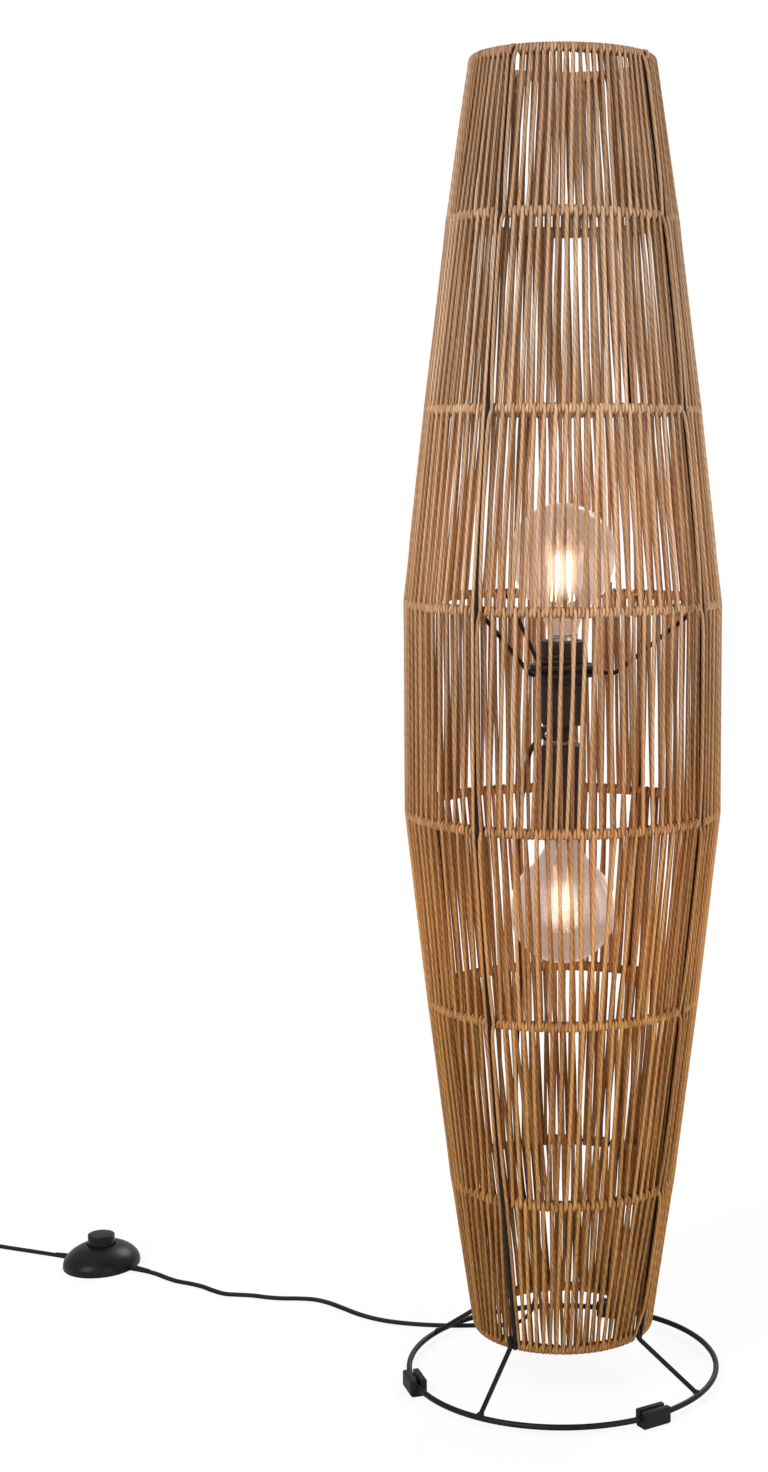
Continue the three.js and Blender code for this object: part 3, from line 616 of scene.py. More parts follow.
def paper_cord_finish():
    """Twisted kraft paper: three plies laid round each other, each crumpled along its length. Its colour also
    holds painted light: a tone that runs with height, painted shade in the twist's grooves and on the flanks, and
    a painted warm glow and hot spots near the bulbs.
    """
    material, shader, spot = principled("paper_cord", (0.42, 0.28, 0.17), 0.86, specular_ior_level=0.2)
    tree = material.node_tree
    on_cord = Node(tree, "ShaderNodeUVMap", uv_map="UVMap")["UV"]
    around, along = on_cord.axis("X"), on_cord.axis("Y")
    tint = Node(tree, "ShaderNodeAttribute", attribute_name="tint")["Fac"]
    facing = Node(tree, "ShaderNodeAttribute", attribute_name="facing")["Fac"]
    height = spot.axis("Z")

    turns = along.math("MULTIPLY_ADD", 1 / PLY_LENGTH, around * PLIES)
    ridge = abs((turns * math.pi).math("SINE"))
    grain = (around * 9.0).with_others(along * 190.0, tint * 40.0).speckle(1.0, 4.0, 0.6)
    patchy = around.with_others(along * 28.0, tint * 90.0).speckle(1.0, 2.0)

    # Painted light: the colour runs with height as the light falls along the shade, not as the cord's own colour
    straw_and_painted_light = Node(tree, "ShaderNodeValToRGB", {"Fac": height.between(0.0, 1.0, 0.0, TONES_TOP)})
    stops = straw_and_painted_light.made.color_ramp.elements
    for at, colour in CORD_TONES_AND_PAINTED_LIGHT:
        stops.new(at).color = (*[channel * CORD_LIGHTNESS for channel in colour], 1)
    stops.remove(stops[0])
    stops.remove(stops[-1])
    depth = tint.math("MULTIPLY_ADD", 0.62, patchy * 0.55).between(0.62, 1.3, 0.15, 0.95)
    body = straw_and_painted_light["Color"].darkened(depth.fading(1.3, 1.7))
    # Painted shade: the grooves between the plies are darkened in the colour, as well as bumped
    groove = ridge.between(0.5, 1.0, 0.0, 0.6)
    flecked = grain.between(0.0, 0.45, 0.45, 0.75).blend(body, (0.70, 0.50, 0.32))
    # Painted shade: flanks that face along the ring, towards the neighbouring strands, are darkened in the colour
    painted_flank_shade = facing.between(SIDE_SHADE, 1.0, 0.25, 0.8)
    colour = flecked.darkened(groove.colour(groove, groove)).darkened(painted_flank_shade.fading(1.35, 1.9))
    roughened(shader, grain.math("MULTIPLY_ADD", 0.35, ridge ** 0.6), 0.0003)

    # Painted light: a warm glow put into the cord's emission near each globe
    near = [spot.vector("DISTANCE", (0, 0, middle)).between(1.0, 0.0, PAINTED_GLOW_NEAR, PAINTED_GLOW_FAR)
            for middle in PAINTED_GLOW_HEIGHTS]
    glow = near[0].math("MAXIMUM", near[1]) ** 1.5 * PAINTED_GLOW_STRENGTH
    painted_warm_light = (glow * 0.85).colour(glow, glow * 1.4).darkened(colour)
    # Painted light: bright patches in the cord's emission level with the filaments
    painted_hot_spots = [abs(height - middle).between(share, 0.0, PAINTED_HOT_NEAR, PAINTED_HOT_FAR) for middle, share in PAINTED_HOT_SPOTS]
    painted_hot_spots = painted_hot_spots[0].math("MAXIMUM", painted_hot_spots[1]) * spot.fourfold().between(0.0, 1.0, 0.87, 0.99)
    feed(shader, base_color=colour, roughness=grain.between(0.78, 0.95),
         emission_color=painted_hot_spots.blend(painted_warm_light, (1.0, 0.84, 0.60)))
    shader.inputs["Emission Strength"].default_value = 1.0
    return material


def painted_wire_finish():
    """Satin black powder coat, a little orange-peeled, rubbed paler on raised spots."""
    material, shader, spot = principled("black_wire", (0.008, 0.0075, 0.009), 0.42, specular_ior_level=0.16)
    wear = spot.speckle(60.0, 4.0)
    worn = wear.between(0.0, 1.0, 0.45, 0.75)
    feed(shader, base_color=worn.blend((0.006, 0.0055, 0.007), (0.013, 0.012, 0.014)),
         roughness=wear.between(0.36, 0.52))
    roughened(shader, spot.speckle(900.0, 2.0), 0.00006)
    return material


def moulded_finish(name, colour, rough, grain_scale, grain_depth):
    """Moulded plastic or rubber: an even colour with a fine eroded grain and faint dust, and painted warm light
    above a height.
    """
    material, shader, spot = principled(name, colour, rough, specular_ior_level=0.17)
    cloud = spot.speckle(35.0)
    shade = cloud.between(0.0, 1.0, 0.4, 0.8).blend(colour, [channel * 1.7 + 0.004 for channel in colour])
    # Painted warm light: above this height the colour turns brown
    painted_warm_light = spot.axis("Z").between(0.0, 1.0, PAINTED_WARM_FROM, PAINTED_WARM_TO)
    feed(shader, base_color=painted_warm_light.blend(shade, (0.040, 0.026, 0.022)),
         roughness=cloud.between(rough - 0.05, rough + 0.09, 0.3, 0.7))
    roughened(shader, spot.speckle(grain_scale, 3.0, 0.6), grain_depth)
    return material


def metal_finish(name, colour, rough):
    """Plated or drawn metal: soft streaks round the axis, and fine dulling."""
    material, shader, spot = principled(name, colour, rough, 1.0)
    drawn_out = spot.node("ShaderNodeMapping", {"Vector": spot, "Scale": (40.0, 40.0, 900.0)})["Vector"]
    streak = drawn_out.speckle(1.0, 4.0)
    dull = [channel * 0.72 for channel in colour]
    feed(shader, base_color=streak.between(0.0, 1.0, 0.3, 0.7).blend(dull, colour),
         roughness=streak.between(rough - 0.07, rough + 0.12, 0.3, 0.7))
    roughened(shader, streak, 0.00002)
    return material


def glass_finish():
    """Clear blown glass with painted light in its emission: a warm glow all over, brighter level with the
    filaments, with painted reflection streaks and painted highlights there.
    """
    material, shader, spot = principled("clear_glass", (0.06, 0.05, 0.045), 0.06, alpha=0.55,
                                        specular_ior_level=0.4, emission_strength=1.0)
    material.surface_render_method = "BLENDED"
    height = spot.axis("Z")
    away = [abs(height - middle) for middle in FILAMENT_HEIGHTS]
    painted_glass_band = away[0].math("MINIMUM", away[1]).between(1.0, 0.0, PAINTED_GLASS_NEAR, PAINTED_GLASS_FAR)
    # Painted glow and reflections: a warm glow over the glass, brighter level with the filaments, with vertical
    # painted reflection streaks there
    streak = spot.levelled().speckle(5.5, 2.0).between(0.0, 1.0, 0.52, 0.68)
    painted_glow_and_reflections = (streak * painted_glass_band).blend(painted_glass_band.blend((0.35, 0.24, 0.19), (0.47, 0.335, 0.275)), (0.74, 0.60, 0.57))
    # Painted highlights: hot patches in front, behind and at the sides, level with the filaments, weaker on the
    # lower bulb
    upper = height.math("GREATER_THAN", PAIR_HEIGHT)
    bright = spot.fourfold().between(0.0, 1.0, 0.35, 0.95) * painted_glass_band * upper.math("MULTIPLY_ADD", 0.55, 0.45)
    feed(shader, base_color=spot.speckle(22.0, 2.0).blend((0.07, 0.058, 0.052), (0.05, 0.042, 0.037)),
         emission_color=bright.blend(painted_glow_and_reflections, (1.9, 1.6, 1.3)))
    roughened(shader, spot.speckle(45.0, 1.0), 0.0002)
    return material


def filament_finish():
    """A coated light-emitting stick, lit: the upper bulb's full on, and the lower bulb's dimmer."""
    material, shader, spot = principled("filament", (0.85, 0.40, 0.06), 0.5, emission_strength=60.0)
    colour = spot.speckle(700.0, 1.0).blend((1.0, 0.60, 0.26), (1.0, 0.70, 0.36))
    upper = spot.axis("Z").math("GREATER_THAN", PAIR_HEIGHT)
    feed(shader, emission_color=upper.blend((0.034, 0.024, 0.0145), colour))
    return material


FINISHES = {
    "paper_cord": paper_cord_finish(),
    "black_wire": painted_wire_finish(),
    "black_plastic": moulded_finish("black_plastic", (0.0065, 0.0058, 0.0072), 0.36, 1500.0, 0.00003),
    "black_rubber": moulded_finish("black_rubber", (0.0075, 0.0066, 0.0082), 0.55, 900.0, 0.00006),
    "brass": metal_finish("brass", (0.60, 0.43, 0.17), 0.34),
    "nickel_plate": metal_finish("nickel_plate", (0.62, 0.60, 0.56), 0.26),
    "clear_glass": glass_finish(),
    "filament": filament_finish(),
}
WIRE_TREE = tube_tree("bent_wire", False)
CORD_TREE = tube_tree("wound_cord", True)


# The lead and the pieces on it

def eased(share):
    """A share that starts and ends gently."""
    return share * share * (3 - 2 * share)


def smooth_line(points, parts):
    """A Catmull-Rom run through points, with a number of parts in each span."""
    made = []
    for index in range(len(points) - 1):
        before, start = points[max(index - 1, 0)], points[index]
        end, after = points[index + 1], points[min(index + 2, len(points) - 1)]
        for part in range(parts):
            share = part / parts
            made.append(0.5 * ((2 * start) + (end - before) * share
                               + (2 * before - 5 * start + 4 * end - after) * share ** 2
                               + (3 * start - before - 3 * end + after) * share ** 3))
    made.append(points[-1])
    return made


def length_of(points):
    return sum((one - other).length for one, other in zip(points, points[1:]))


def flat_lead(points, flat_from, sides=18):
    """A flat two-core cord along a line. It hangs untwisted, and lies on its broad side from one point on."""
    ends = zip([points[0], *points[:-1]], [*points[1:], points[-1]])
    ahead = [(after - before).normalized() for before, after in ends]
    across = [None] * flat_from + [direction.cross(UP).normalized() for direction in ahead[flat_from:]]
    for k in range(flat_from - 1, -1, -1):
        across[k] = (across[k + 1] - ahead[k] * across[k + 1].dot(ahead[k])).normalized()
    lobe = LEAD_HEIGHT / 2
    apart = LEAD_WIDTH / 2 - lobe
    outline = []
    for side in range(sides):
        turn = 2 * math.pi * (side + 0.5) / sides
        wide = math.cos(turn) * LEAD_WIDTH / 2
        inner = max(abs(wide) - apart, 0.0)
        dip = 1 - LEAD_DIP * (1 - min(1.0, abs(wide) / apart))
        high = math.sqrt(max(lobe ** 2 - inner ** 2, 0.0)) * dip
        outline.append((wide, math.copysign(high, math.sin(turn))))
    places = []
    for spot, direction, side in zip(points, ahead, across):
        over = side.cross(direction).normalized()
        places += [spot + side * wide + over * high for wide, high in outline]
    return mesh_of(places, skin(rows_of(len(points), sides)), 50)


def coil_line():
    """The spare lead: in and out again in two layers of turns, and a tail round to the plug."""
    points = []

    def add(radius, degrees, height):
        angle = math.radians(degrees)
        points.append(Vector((
            COIL_CENTRE[0] + radius * math.cos(angle), COIL_CENTRE[1] + radius * math.sin(angle), height)))

    for step in range(COIL_TURNS * COIL_STEPS + 1):
        turn = step / COIL_STEPS
        climb = min(max((turn - COIL_TURNS / 2) / COIL_CLIMB + 0.5, 0.0), 1.0)
        add(COIL_RADIUS - COIL_PITCH * min(turn, COIL_TURNS - turn), COIL_START + 360 * turn,
            COIL_HEIGHT + COIL_LAYER * climb)
    high = COIL_HEIGHT + COIL_LAYER
    for step in range(1, TAIL_STEPS + 1):
        share = step / TAIL_STEPS
        add(COIL_RADIUS + (TAIL_RADIUS - COIL_RADIUS) * eased(share),
            COIL_START + (TAIL_END - COIL_START) * share,
            high + (PLUG_THICKNESS / 2 - high) * eased(share))
    points.append(points[-1] - Vector((0, TAIL_STRAIGHT, 0)))
    return points


def route(listed):
    """A listed route in metres, let down so that the flat lead lies on the floor."""
    return [Vector((x, y, z - (LET_DOWN if z < ON_FLOOR else 0.0))) * MILLIMETRE for x, y, z in listed]


def sleeve(start, direction, length, root, tip, flat=1.0, ribs=5, waist=0.84, edge=0.04):
    """A tapered strain relief with ribs round it, from its root outwards, flattened for a flat lead."""
    profile = [(0, 0), (root, 0)]
    for rib in range(ribs):
        low, high = (rib + 0.35) / ribs, (rib + 0.75) / ribs
        wide, narrow = root + (tip - root) * low, root + (tip - root) * high
        profile += [(wide, length * low), (wide * waist, length * (low + edge)),
                    (narrow * waist, length * (high - edge)), (narrow, length * high)]
    profile += [(tip, length), (0, length)]
    side = direction.cross(UP).normalized()
    over = side.cross(direction)
    turn = Matrix((side, over * flat, direction)).transposed().to_4x4()
    return facing_out(moved(turned(softened(profile, 0.0004, 2), 32), Matrix.Translation(start) @ turn))


SWITCH_MATRIX = Matrix.Translation((*SWITCH_PLACE, 0)) @ Matrix.Rotation(math.radians(SWITCH_TURN), 4, "Z")


def oval_solid(rows, steps=72):
    """A turned solid whose rows are oval, by a share of the switch's half sizes, or round, by a radius."""
    places = []
    for kind, size, height in rows:
        wide, deep = (size * SWITCH_LENGTH, size * SWITCH_WIDTH) if kind == "oval" else (size, size)
        for step in range(steps):
            angle = 2 * math.pi * step / steps
            places.append((wide * math.cos(angle), deep * math.sin(angle), height))
    return moved(mesh_of(places, skin(rows_of(len(rows), steps), True)), SWITCH_MATRIX)


def add_switch():
    """The foot switch: a smooth dome with a big round button, a base plate and a contact block inside."""
    lift, wall = 0.0005, 0.002
    height = SWITCH_HEIGHT - lift
    hole = BUTTON_RADIUS + 0.0006
    dome = [(1.0, 0.10), (0.996, 0.19), (0.982, 0.30), (0.955, 0.40), (0.915, 0.50), (0.862, 0.60),
            (0.795, 0.70), (0.715, 0.79), (0.62, 0.88), (0.53, 0.945), (0.46, 0.98)]
    outer = [("oval", 0.985, lift), ("oval", 0.997, lift + 0.0005)]
    outer += [("oval", wide, lift + height * high) for wide, high in dome]
    outer += [("round", hole + 0.0012, SWITCH_HEIGHT), ("round", hole + 0.0004, SWITCH_HEIGHT - 0.00015),
              ("round", hole, SWITCH_HEIGHT - 0.0007), ("round", hole, SWITCH_HEIGHT - wall)]
    inner = [("oval", wide - 0.055, lift + (height - wall) * high) for wide, high in reversed(dome)]
    cover = solid("foot_switch_cover", oval_solid(outer + inner + [("oval", 0.945, lift)]), "black_plastic",
                  ["switch_cover"])

    plate = [("oval", 0.001, 0), ("oval", 0.915, 0), ("oval", 0.935, 0.0006), ("oval", 0.935, 0.0018),
             ("oval", 0.925, 0.0024), ("oval", 0.001, 0.0024)]
    base = solid("foot_switch_base", oval_solid(plate), "black_plastic", ["switch_base"])
    block = solid("foot_switch_contact", softened_copy("switch_contact", 0.0008), "black_plastic",
                  ["switch_contact"])

    profile = [(0, 0.016), (BUTTON_RADIUS + 0.002, 0.016), (BUTTON_RADIUS + 0.002, 0.0179),
               (BUTTON_RADIUS, 0.0179), (BUTTON_RADIUS, BUTTON_TOP - 0.0008),
               (BUTTON_RADIUS * 0.93, BUTTON_TOP - 0.0003), (BUTTON_RADIUS * 0.5, BUTTON_TOP),
               (0, BUTTON_TOP)]
    knob = moved(turned(softened(profile, 0.0022, 6)), SWITCH_MATRIX)
    button = solid("foot_switch_button", knob, "black_plastic", ["switch_button"], "button")

    reliefs = []
    for way in (1, -1):
        along = SWITCH_MATRIX.to_3x3() @ Vector((way, 0, 0))
        start = Vector((*SWITCH_PLACE, LEAD_HEIGHT / 2 + 0.0016)) + along * (SWITCH_LENGTH - 0.0035)
        sloping = (along - UP * 0.05).normalized()
        reliefs.append(sleeve(start, sloping, length=0.024, root=0.0043, tip=0.0032, flat=0.66))
    ends = solid("switch_strain_reliefs", joined(reliefs), "black_rubber")
    return [cover, base, block, button, ends]


def add_plug(lead_end):
    """A flat moulded two-pin plug, its ribbed relief, and pins with insulating sleeves."""
    root = lead_end.y - CLEARANCE - RELIEF_LENGTH
    half = PLUG_THICKNESS / 2
    widths = [(0, 0.36), (0.22, 0.5), (0.5, 0.9), (0.66, 1), (0.96, 1), (1, 0.95)]
    steps, around = 22, 40
    stations = []
    for step in range(steps + 1):
        share = step / steps
        (low, wide), (high, next_wide) = next(pair for pair in zip(widths, widths[1:]) if share <= pair[1][0])
        stations.append((share, wide + (next_wide - wide) * eased((share - low) / (high - low))))
    rows = [(0.0, stations[0][1] * 0.82, 0.72)]
    rows += [(share * 0.985 + 0.008, wide, 1.0) for share, wide in stations]
    rows += [(1.012, stations[-1][1] * 0.985, 0.93), (1.02, stations[-1][1] * 0.93, 0.84)]
    places = []
    for share, wide, high in rows:
        for step in range(around):
            turn = 2 * math.pi * step / around
            cosine, sine = math.cos(turn), math.sin(turn)
            reach = (abs(cosine) ** 4 + abs(sine) ** 4) ** -0.25
            places.append((lead_end.x + PLUG_HALF_WIDTH * wide * cosine * reach, root - PLUG_LENGTH * share,
                           half + half * high * sine * reach))
    sunk = 0.002
    relief = sleeve(Vector((lead_end.x, root - sunk, half)), Vector((0, 1, 0)), RELIEF_LENGTH + sunk,
                    root=0.0056, tip=0.0031)
    body = mesh_of(places, skin(rows_of(len(rows), around)), 50)
    moulding = solid("plug_moulding", joined([body, relief], 45), "black_plastic", ["plug_body"])

    pin = softened([(0, 0.009), (0.002, 0.009), (0.002, 0.0192), (0, 0.0195)], 0.0014, 5)
    collar = softened([(0, -0.001), (0.0019, -0.001), (0.0019, 0.0098), (0, 0.0098)], 0.0003, 2)
    pins, collars = [], []
    for name, way in (("left", -1), ("right", 1)):
        middle = (lead_end.x + way * PIN_SPREAD / 2, root - PLUG_LENGTH * rows[-1][0], half)
        face = Matrix.Translation(middle) @ ON_SIDE
        metal = moved(turned(pin, 32), face)
        pins.append(solid(f"plug_pin_{name}_metal", metal, "nickel_plate", [f"plug_pin_{name}"]))
        collars.append(moved(turned(collar, 32), face))
    insulation = solid("plug_pin_sleeves", joined(collars), "black_plastic")
    return [moulding, insulation, *pins]


def add_tie():
    """A soft strap round the coil's turns, closed on itself."""
    depth = COIL_PITCH * COIL_TURNS / 4
    half = depth + TIE_REACH
    low, high = COIL_HEIGHT - TIE_RISE, COIL_HEIGHT + COIL_LAYER + TIE_RISE
    right, left = half - TIE_CORNER, TIE_CORNER - half
    low, high = low + TIE_CORNER, high - TIE_CORNER
    places = []
    for x, y, start in ((right, low, -90), (right, high, 0), (left, high, 90), (left, low, 180)):
        for step in range(7):
            turn = math.radians(start + 15 * step)
            for out, side in ((0, -1), (0, 1), (TIE_THICKNESS, 1), (TIE_THICKNESS, -1)):
                places.append((x + (TIE_CORNER + out) * math.cos(turn), side * TIE_WIDTH / 2,
                               y + (TIE_CORNER + out) * math.sin(turn)))
    strap = mesh_of(places, skin(rows_of(len(places) // 4, 4), True), 60)
    turn = Matrix.Translation((COIL_CENTRE[0], COIL_CENTRE[1] - COIL_RADIUS + depth, 0))
    strap = moved(strap, turn @ Matrix.Rotation(math.radians(270), 4, "Z"))
    return solid("coil_strap", strap, "black_rubber", ["coil_tie"])


def add_lead(name, listed, parts, lying_from, nodes):
    line = smooth_line(listed, parts)
    lead = solid(name, flat_lead(line, parts * lying_from), "black_rubber", nodes)
    return lead, {"exit": tuple(listed[0]), "length": length_of(line), "diameter": LEAD_WIDTH,
                  "path": [tuple(point) for point in listed]}


def add_leads():
    lead, facts = add_lead("lead_in_shade", route(ROUTE_TO_SWITCH), 4, LYING_FROM, ["lead_to_switch"])
    add_switch()

    listed = route(ROUTE_TO_PLUG) + coil_line()[1:]
    lead, facts = add_lead("lead_to_coil", listed, 2, 0, ["lead_to_plug", "lead_coil"])
    tie = add_tie()
    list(add_plug(listed[-1]))


add_camera()
add_leads()


# The wound cord

def around_ring(ring, climb, angle, wrap=WRAP):
    """A point of cord that lies round a ring's wire: climb is 0 outside, 90 on top and 180 inside."""
    turn = math.radians(climb)
    return place(RING_RADII[ring] + wrap * math.cos(turn), angle, RING_HEIGHTS[ring] + wrap * math.sin(turn))


def beside_ring(ring, angle, outward, upward):
    """A point at a ring, by its distance in millimetres outwards and upwards from the wire's middle."""
    return place(RING_RADII[ring] + outward * MILLIMETRE, angle, RING_HEIGHTS[ring] + upward * MILLIMETRE)


def degrees_round(ring, distance):
    """The angle that a distance along the cord round a ring takes up."""
    return math.degrees(distance / (RING_RADII[ring] + WRAP))


def extra_turn(ring):
    """The angle that a second turn takes up round a ring that has room for one, and 0 on the others."""
    return degrees_round(ring, CORD) if 0 < ring < LAST_RING and RING_SHARES[ring] != CROWDED else 0.0


def gaps_taken(ring):
    """Which gap in the upper band's turns each loop of the lower band takes, but for the first and last."""
    above, below = LOOPS[ring - 1], LOOPS[ring]
    return [round(loop * (above - 1) / (below - 1)) for loop in range(1, below - 1)]


def outside_angles(ring, way):
    """Where each loop passes the outside of a ring, from one upright to the next.

    The first and the last loop lie against the uprights. The others lean by half of the ring's share of a
    step, back (way -1) at the lower ring and on (way 1) at the upper one, so that the turns of two bands
    share out the ring. Where a ring carries two bands, the lower band's loops take the gaps that the upper
    band's turns leave.
    """
    loops = LOOPS[ring if way == 1 else ring - 1]
    lean = way * RING_SHARES[ring] / 2
    first = degrees_round(ring, BESIDE_WIRE)
    step = (90 - first - degrees_round(ring, BESIDE_TAB if ring == LAST_RING else BESIDE_WIRE)) / (loops - 1)
    angles = [first + (loop + lean) * step for loop in range(loops)]
    angles[0] -= lean * step
    angles[-1] -= lean * step
    if way == 1 and ring > 0:
        above, _ = outside_angles(ring, -1)
        gaps = [(one + other - extra_turn(ring)) / 2 for one, other in zip(above, above[1:])]
        taken = gaps_taken(ring)
        for loop, gap in enumerate(taken):
            place_in_gap = taken[:loop].count(gap) - (taken.count(gap) - 1) / 2
            angles[loop + 1] = gaps[gap] + place_in_gap * degrees_round(ring, CORD)
    return angles, step


def strand(start, end, start_angle, end_angle, chance):
    """The points of a stretch between two rings, a little out of true."""
    made = []
    sway, swell = chance.uniform(-SWAY, SWAY), chance.uniform(-SWELL, SWELL)
    for share in (0.14, 0.36, 0.62, 0.86):
        bow = math.sin(math.pi * share)
        side, out = directions(start_angle + (end_angle - start_angle) * share)
        wander = chance.uniform(-WANDER, WANDER)
        made.append(start.lerp(end, share) + (side * (sway * bow + wander) + out * swell * bow) * MILLIMETRE)
    return made


def hugging_strand(upper, lower, wire, way, over):
    """A strand that leans on an upright: beside it at the rings, and half over it in between."""
    made = []
    touching = UPRIGHT_WIRE / 2 + CORD / 2
    for share, lean in ((0.06, 0.1), (0.2, 0.5), (0.4, 0.85), (0.65, 1.0), (0.88, 1.0), (0.955, 0.55)):
        radius = RING_RADII[lower] + (RING_RADII[upper] - RING_RADII[lower]) * share
        height = RING_HEIGHTS[lower] + (RING_HEIGHTS[upper] - RING_HEIGHTS[lower]) * share
        beside = BESIDE_WIRE + (over - BESIDE_WIRE) * lean
        out = radius * SEAT_SHARE + UPRIGHT_OFFSET + math.sqrt(max(touching ** 2 - beside ** 2, 0.0))
        out = max(radius + WRAP, out)
        made.append(place(out, wire + way * math.degrees(beside / out), height))
    return made


def cross_inside(ring, start, end):
    """From one quarter's last loop to the next one's first, behind the upright and then under the ring."""
    made = [around_ring(ring, 180 + 25 * share, start + (end - start) * share, WRAP + 0.0002)
            for share in (0.25, 0.5, 0.75)]
    return made + [around_ring(ring, climb, end - short) for climb, short in (
        (235, 0.6), (270, 0.3), (305, 0.1), (340, 0))]


def wound_band(band):
    """One unbroken cord wound between two rings by quarters: up outside, over, down inside and under."""
    chance = random.Random(40 + band)
    upper, lower = band, band + 1
    points, tints, widths = [], [], []

    def add(new, tint, ring=0):
        points.extend(new)
        tints.extend([tint] * len(new))
        widths.extend([PRESSED_CORD if RING_SHARES[ring] == CROWDED else CORD] * len(new))

    def stray(ring, limit=STRAY):
        room = max((RING_SHARES[ring] * math.radians(high_step) * RING_RADII[ring] - CORD) / 2, LEAST_ROOM)
        return math.degrees(chance.uniform(-1, 1) * min(room, limit * MILLIMETRE) / RING_RADII[ring])

    highs, high_step = outside_angles(upper, 1)
    lows, low_step = outside_angles(lower, -1)
    extra = extra_turn(lower)
    loops = LOOPS[band]
    empty = set(range(1, loops - 1)) - set(gaps_taken(lower)) if extra else set()
    slope = TURN_SHARE * high_step
    if upper:
        # Over a shared ring the turns lean back, in between those of the band above
        slope = -(extra_turn(upper) + TURN_SHARE * outside_angles(upper, -1)[1])
        slope /= 3 if extra_turn(upper) else 1
    for wire in sorted(UPRIGHT_ANGLES.values()):
        for loop in range(loops):
            final = loop == loops - 1
            edge = final or loop == 0
            start = wire + lows[loop] if edge else after
            up = wire + highs[loop] + (0 if edge else stray(upper))
            over = up + slope * (0.4 if final else 1) + stray(upper, TURN_STRAY)
            outside_tint, inside_tint = chance.random(), chance.random()
            foot, head = around_ring(lower, 0, start), around_ring(upper, 0, up)
            add([foot], outside_tint, lower)
            near = wire + 90 if final else wire
            if edge and (lower != LAST_RING or near == UPRIGHT_ANGLES["front_right"]):
                over_wire = OVER_WIRE * chance.uniform(0.9, 1.25)
                rise = hugging_strand(upper, lower, near, -1 if final else 1, over_wire)
                rise = rise[1:] if lower == LAST_RING and final else rise
            else:
                rise = strand(foot, head, start, up, chance)
            add(rise, outside_tint)
            add([around_ring(upper, climb, up + (over - up) * climb / 180) for climb in range(0, 181, 30)],
                outside_tint, upper)
            if final:
                down = wire + 90 - degrees_round(lower, BEHIND_WIRE)
            else:
                after = wire + lows[loop + 1] + (0 if loop == loops - 2 else stray(lower))
                whole_turns = (2 if loop in empty else 1) if extra else 0
                down = after - whole_turns * extra - TURN_SHARE * low_step + stray(lower, TURN_STRAY)
            back, base = around_ring(upper, 180, over), around_ring(lower, 180, down)
            add(strand(back, base, over, down, chance), inside_tint)
            add([base], inside_tint, lower)
            if final:
                add(cross_inside(lower, down, wire + 90 + lows[0]), inside_tint)
            else:
                whole = 180 + 360 * whole_turns
                add([around_ring(lower, 180 + climb, down + (after - down) * climb / whole)
                     for climb in range(30, whole - 29, 30)], inside_tint, lower)
    return points, True, widths, tints


def whipped_rim(ring, top):
    """Extra turns of cord round an end ring, one between each two strands, so that they hide its wire."""
    chance = random.Random(90 + ring)
    points, tints = [], []
    shares = [0, 0.03, 0.08, 0.13, 0.16, 0.30, 0.58, 0.86]
    if not top:
        shares = [0, 0.14, 0.42, 0.70, 0.84, 0.87, 0.92, 0.97]
    outside, _ = outside_angles(ring, 1 if top else -1)
    stops = []
    for wire in sorted(UPRIGHT_ANGLES.values()):
        stops += [(wire + (one + other) / 2, None) for one, other in zip(outside, outside[1:])]
        stops[-1] = (stops[-1][0], wire + 90)
    for index, (start, wire) in enumerate(stops):
        end = stops[(index + 1) % len(stops)][0]
        end += 360 if end < start else 0
        tint = chance.random()
        if wire is None:
            made = [around_ring(ring, 45 * step, start + (end - start) * share)
                    for step, share in enumerate(shares)]
        elif top:
            # Past an upright the cord goes round its end as well
            made = [around_ring(ring, 45 * step, start + 0.3 * step) for step in range(6)]
            made.append(around_ring(ring, 275, wire - 1.2, WRAP + 0.001))
            made += [beside_ring(ring, wire + turn, outward, upward) for turn, outward, upward in (
                (-0.9, 4.8, -4.0), (-0.5, 7.0, -2.4), (0, 7.1, 0.2), (0.3, 5.5, 2.5), (0.6, 2.4, 3.1))]
            made += [around_ring(ring, climb, wire + turn) for climb, turn in (
                (135, 0.9), (180, 1.5), (225, 2.6), (270, 3.9))]
            made.append(around_ring(ring, 315, end - 0.6))
        else:
            # Past an upright and a spoke's tab the cord stays inside
            made = [around_ring(ring, 45 * step, start + 0.5 * step) for step in range(4)]
            made += [beside_ring(ring, start + (end - start) * share, -6.6, -0.4)
                     for share in (0.18, 0.34, 0.5, 0.66, 0.82)]
            made += [around_ring(ring, climb, end - short)
                     for climb, short in ((225, 1.0), (270, 0.5), (315, 0.2))]
        points += made
        tints += [tint] * len(made)
    return points, True, CORD, tints


def add_windings():
    for band in range(LAST_RING):
        routes = [wound_band(band)]
        if band == 0:
            routes.append(whipped_rim(0, True))
        if band + 1 == LAST_RING:
            routes.append(whipped_rim(LAST_RING, False))
        tube_piece(f"wound_cord_{band + 1}", routes, CORD_TREE, "paper_cord", 8, [f"winding_{band + 1}"])


# The wire frame

def rounded_bends(points, radius):
    """A line with its inner corners bent round."""
    made = [points[0]]
    for before, corner, after in zip(points, points[1:], points[2:]):
        made += rounded_corner(before, corner, after, radius, 5)
    made.append(points[-1])
    return made


def wire_piece(name, points, width, nodes, closed=False, sides=12):
    return tube_piece(name, [(points, closed, width, 0.5)], WIRE_TREE, "black_wire", sides, nodes, sharp=50)


def ring_points(radius, height, count):
    return [place(radius, 360 * step / count, height) for step in range(count)]


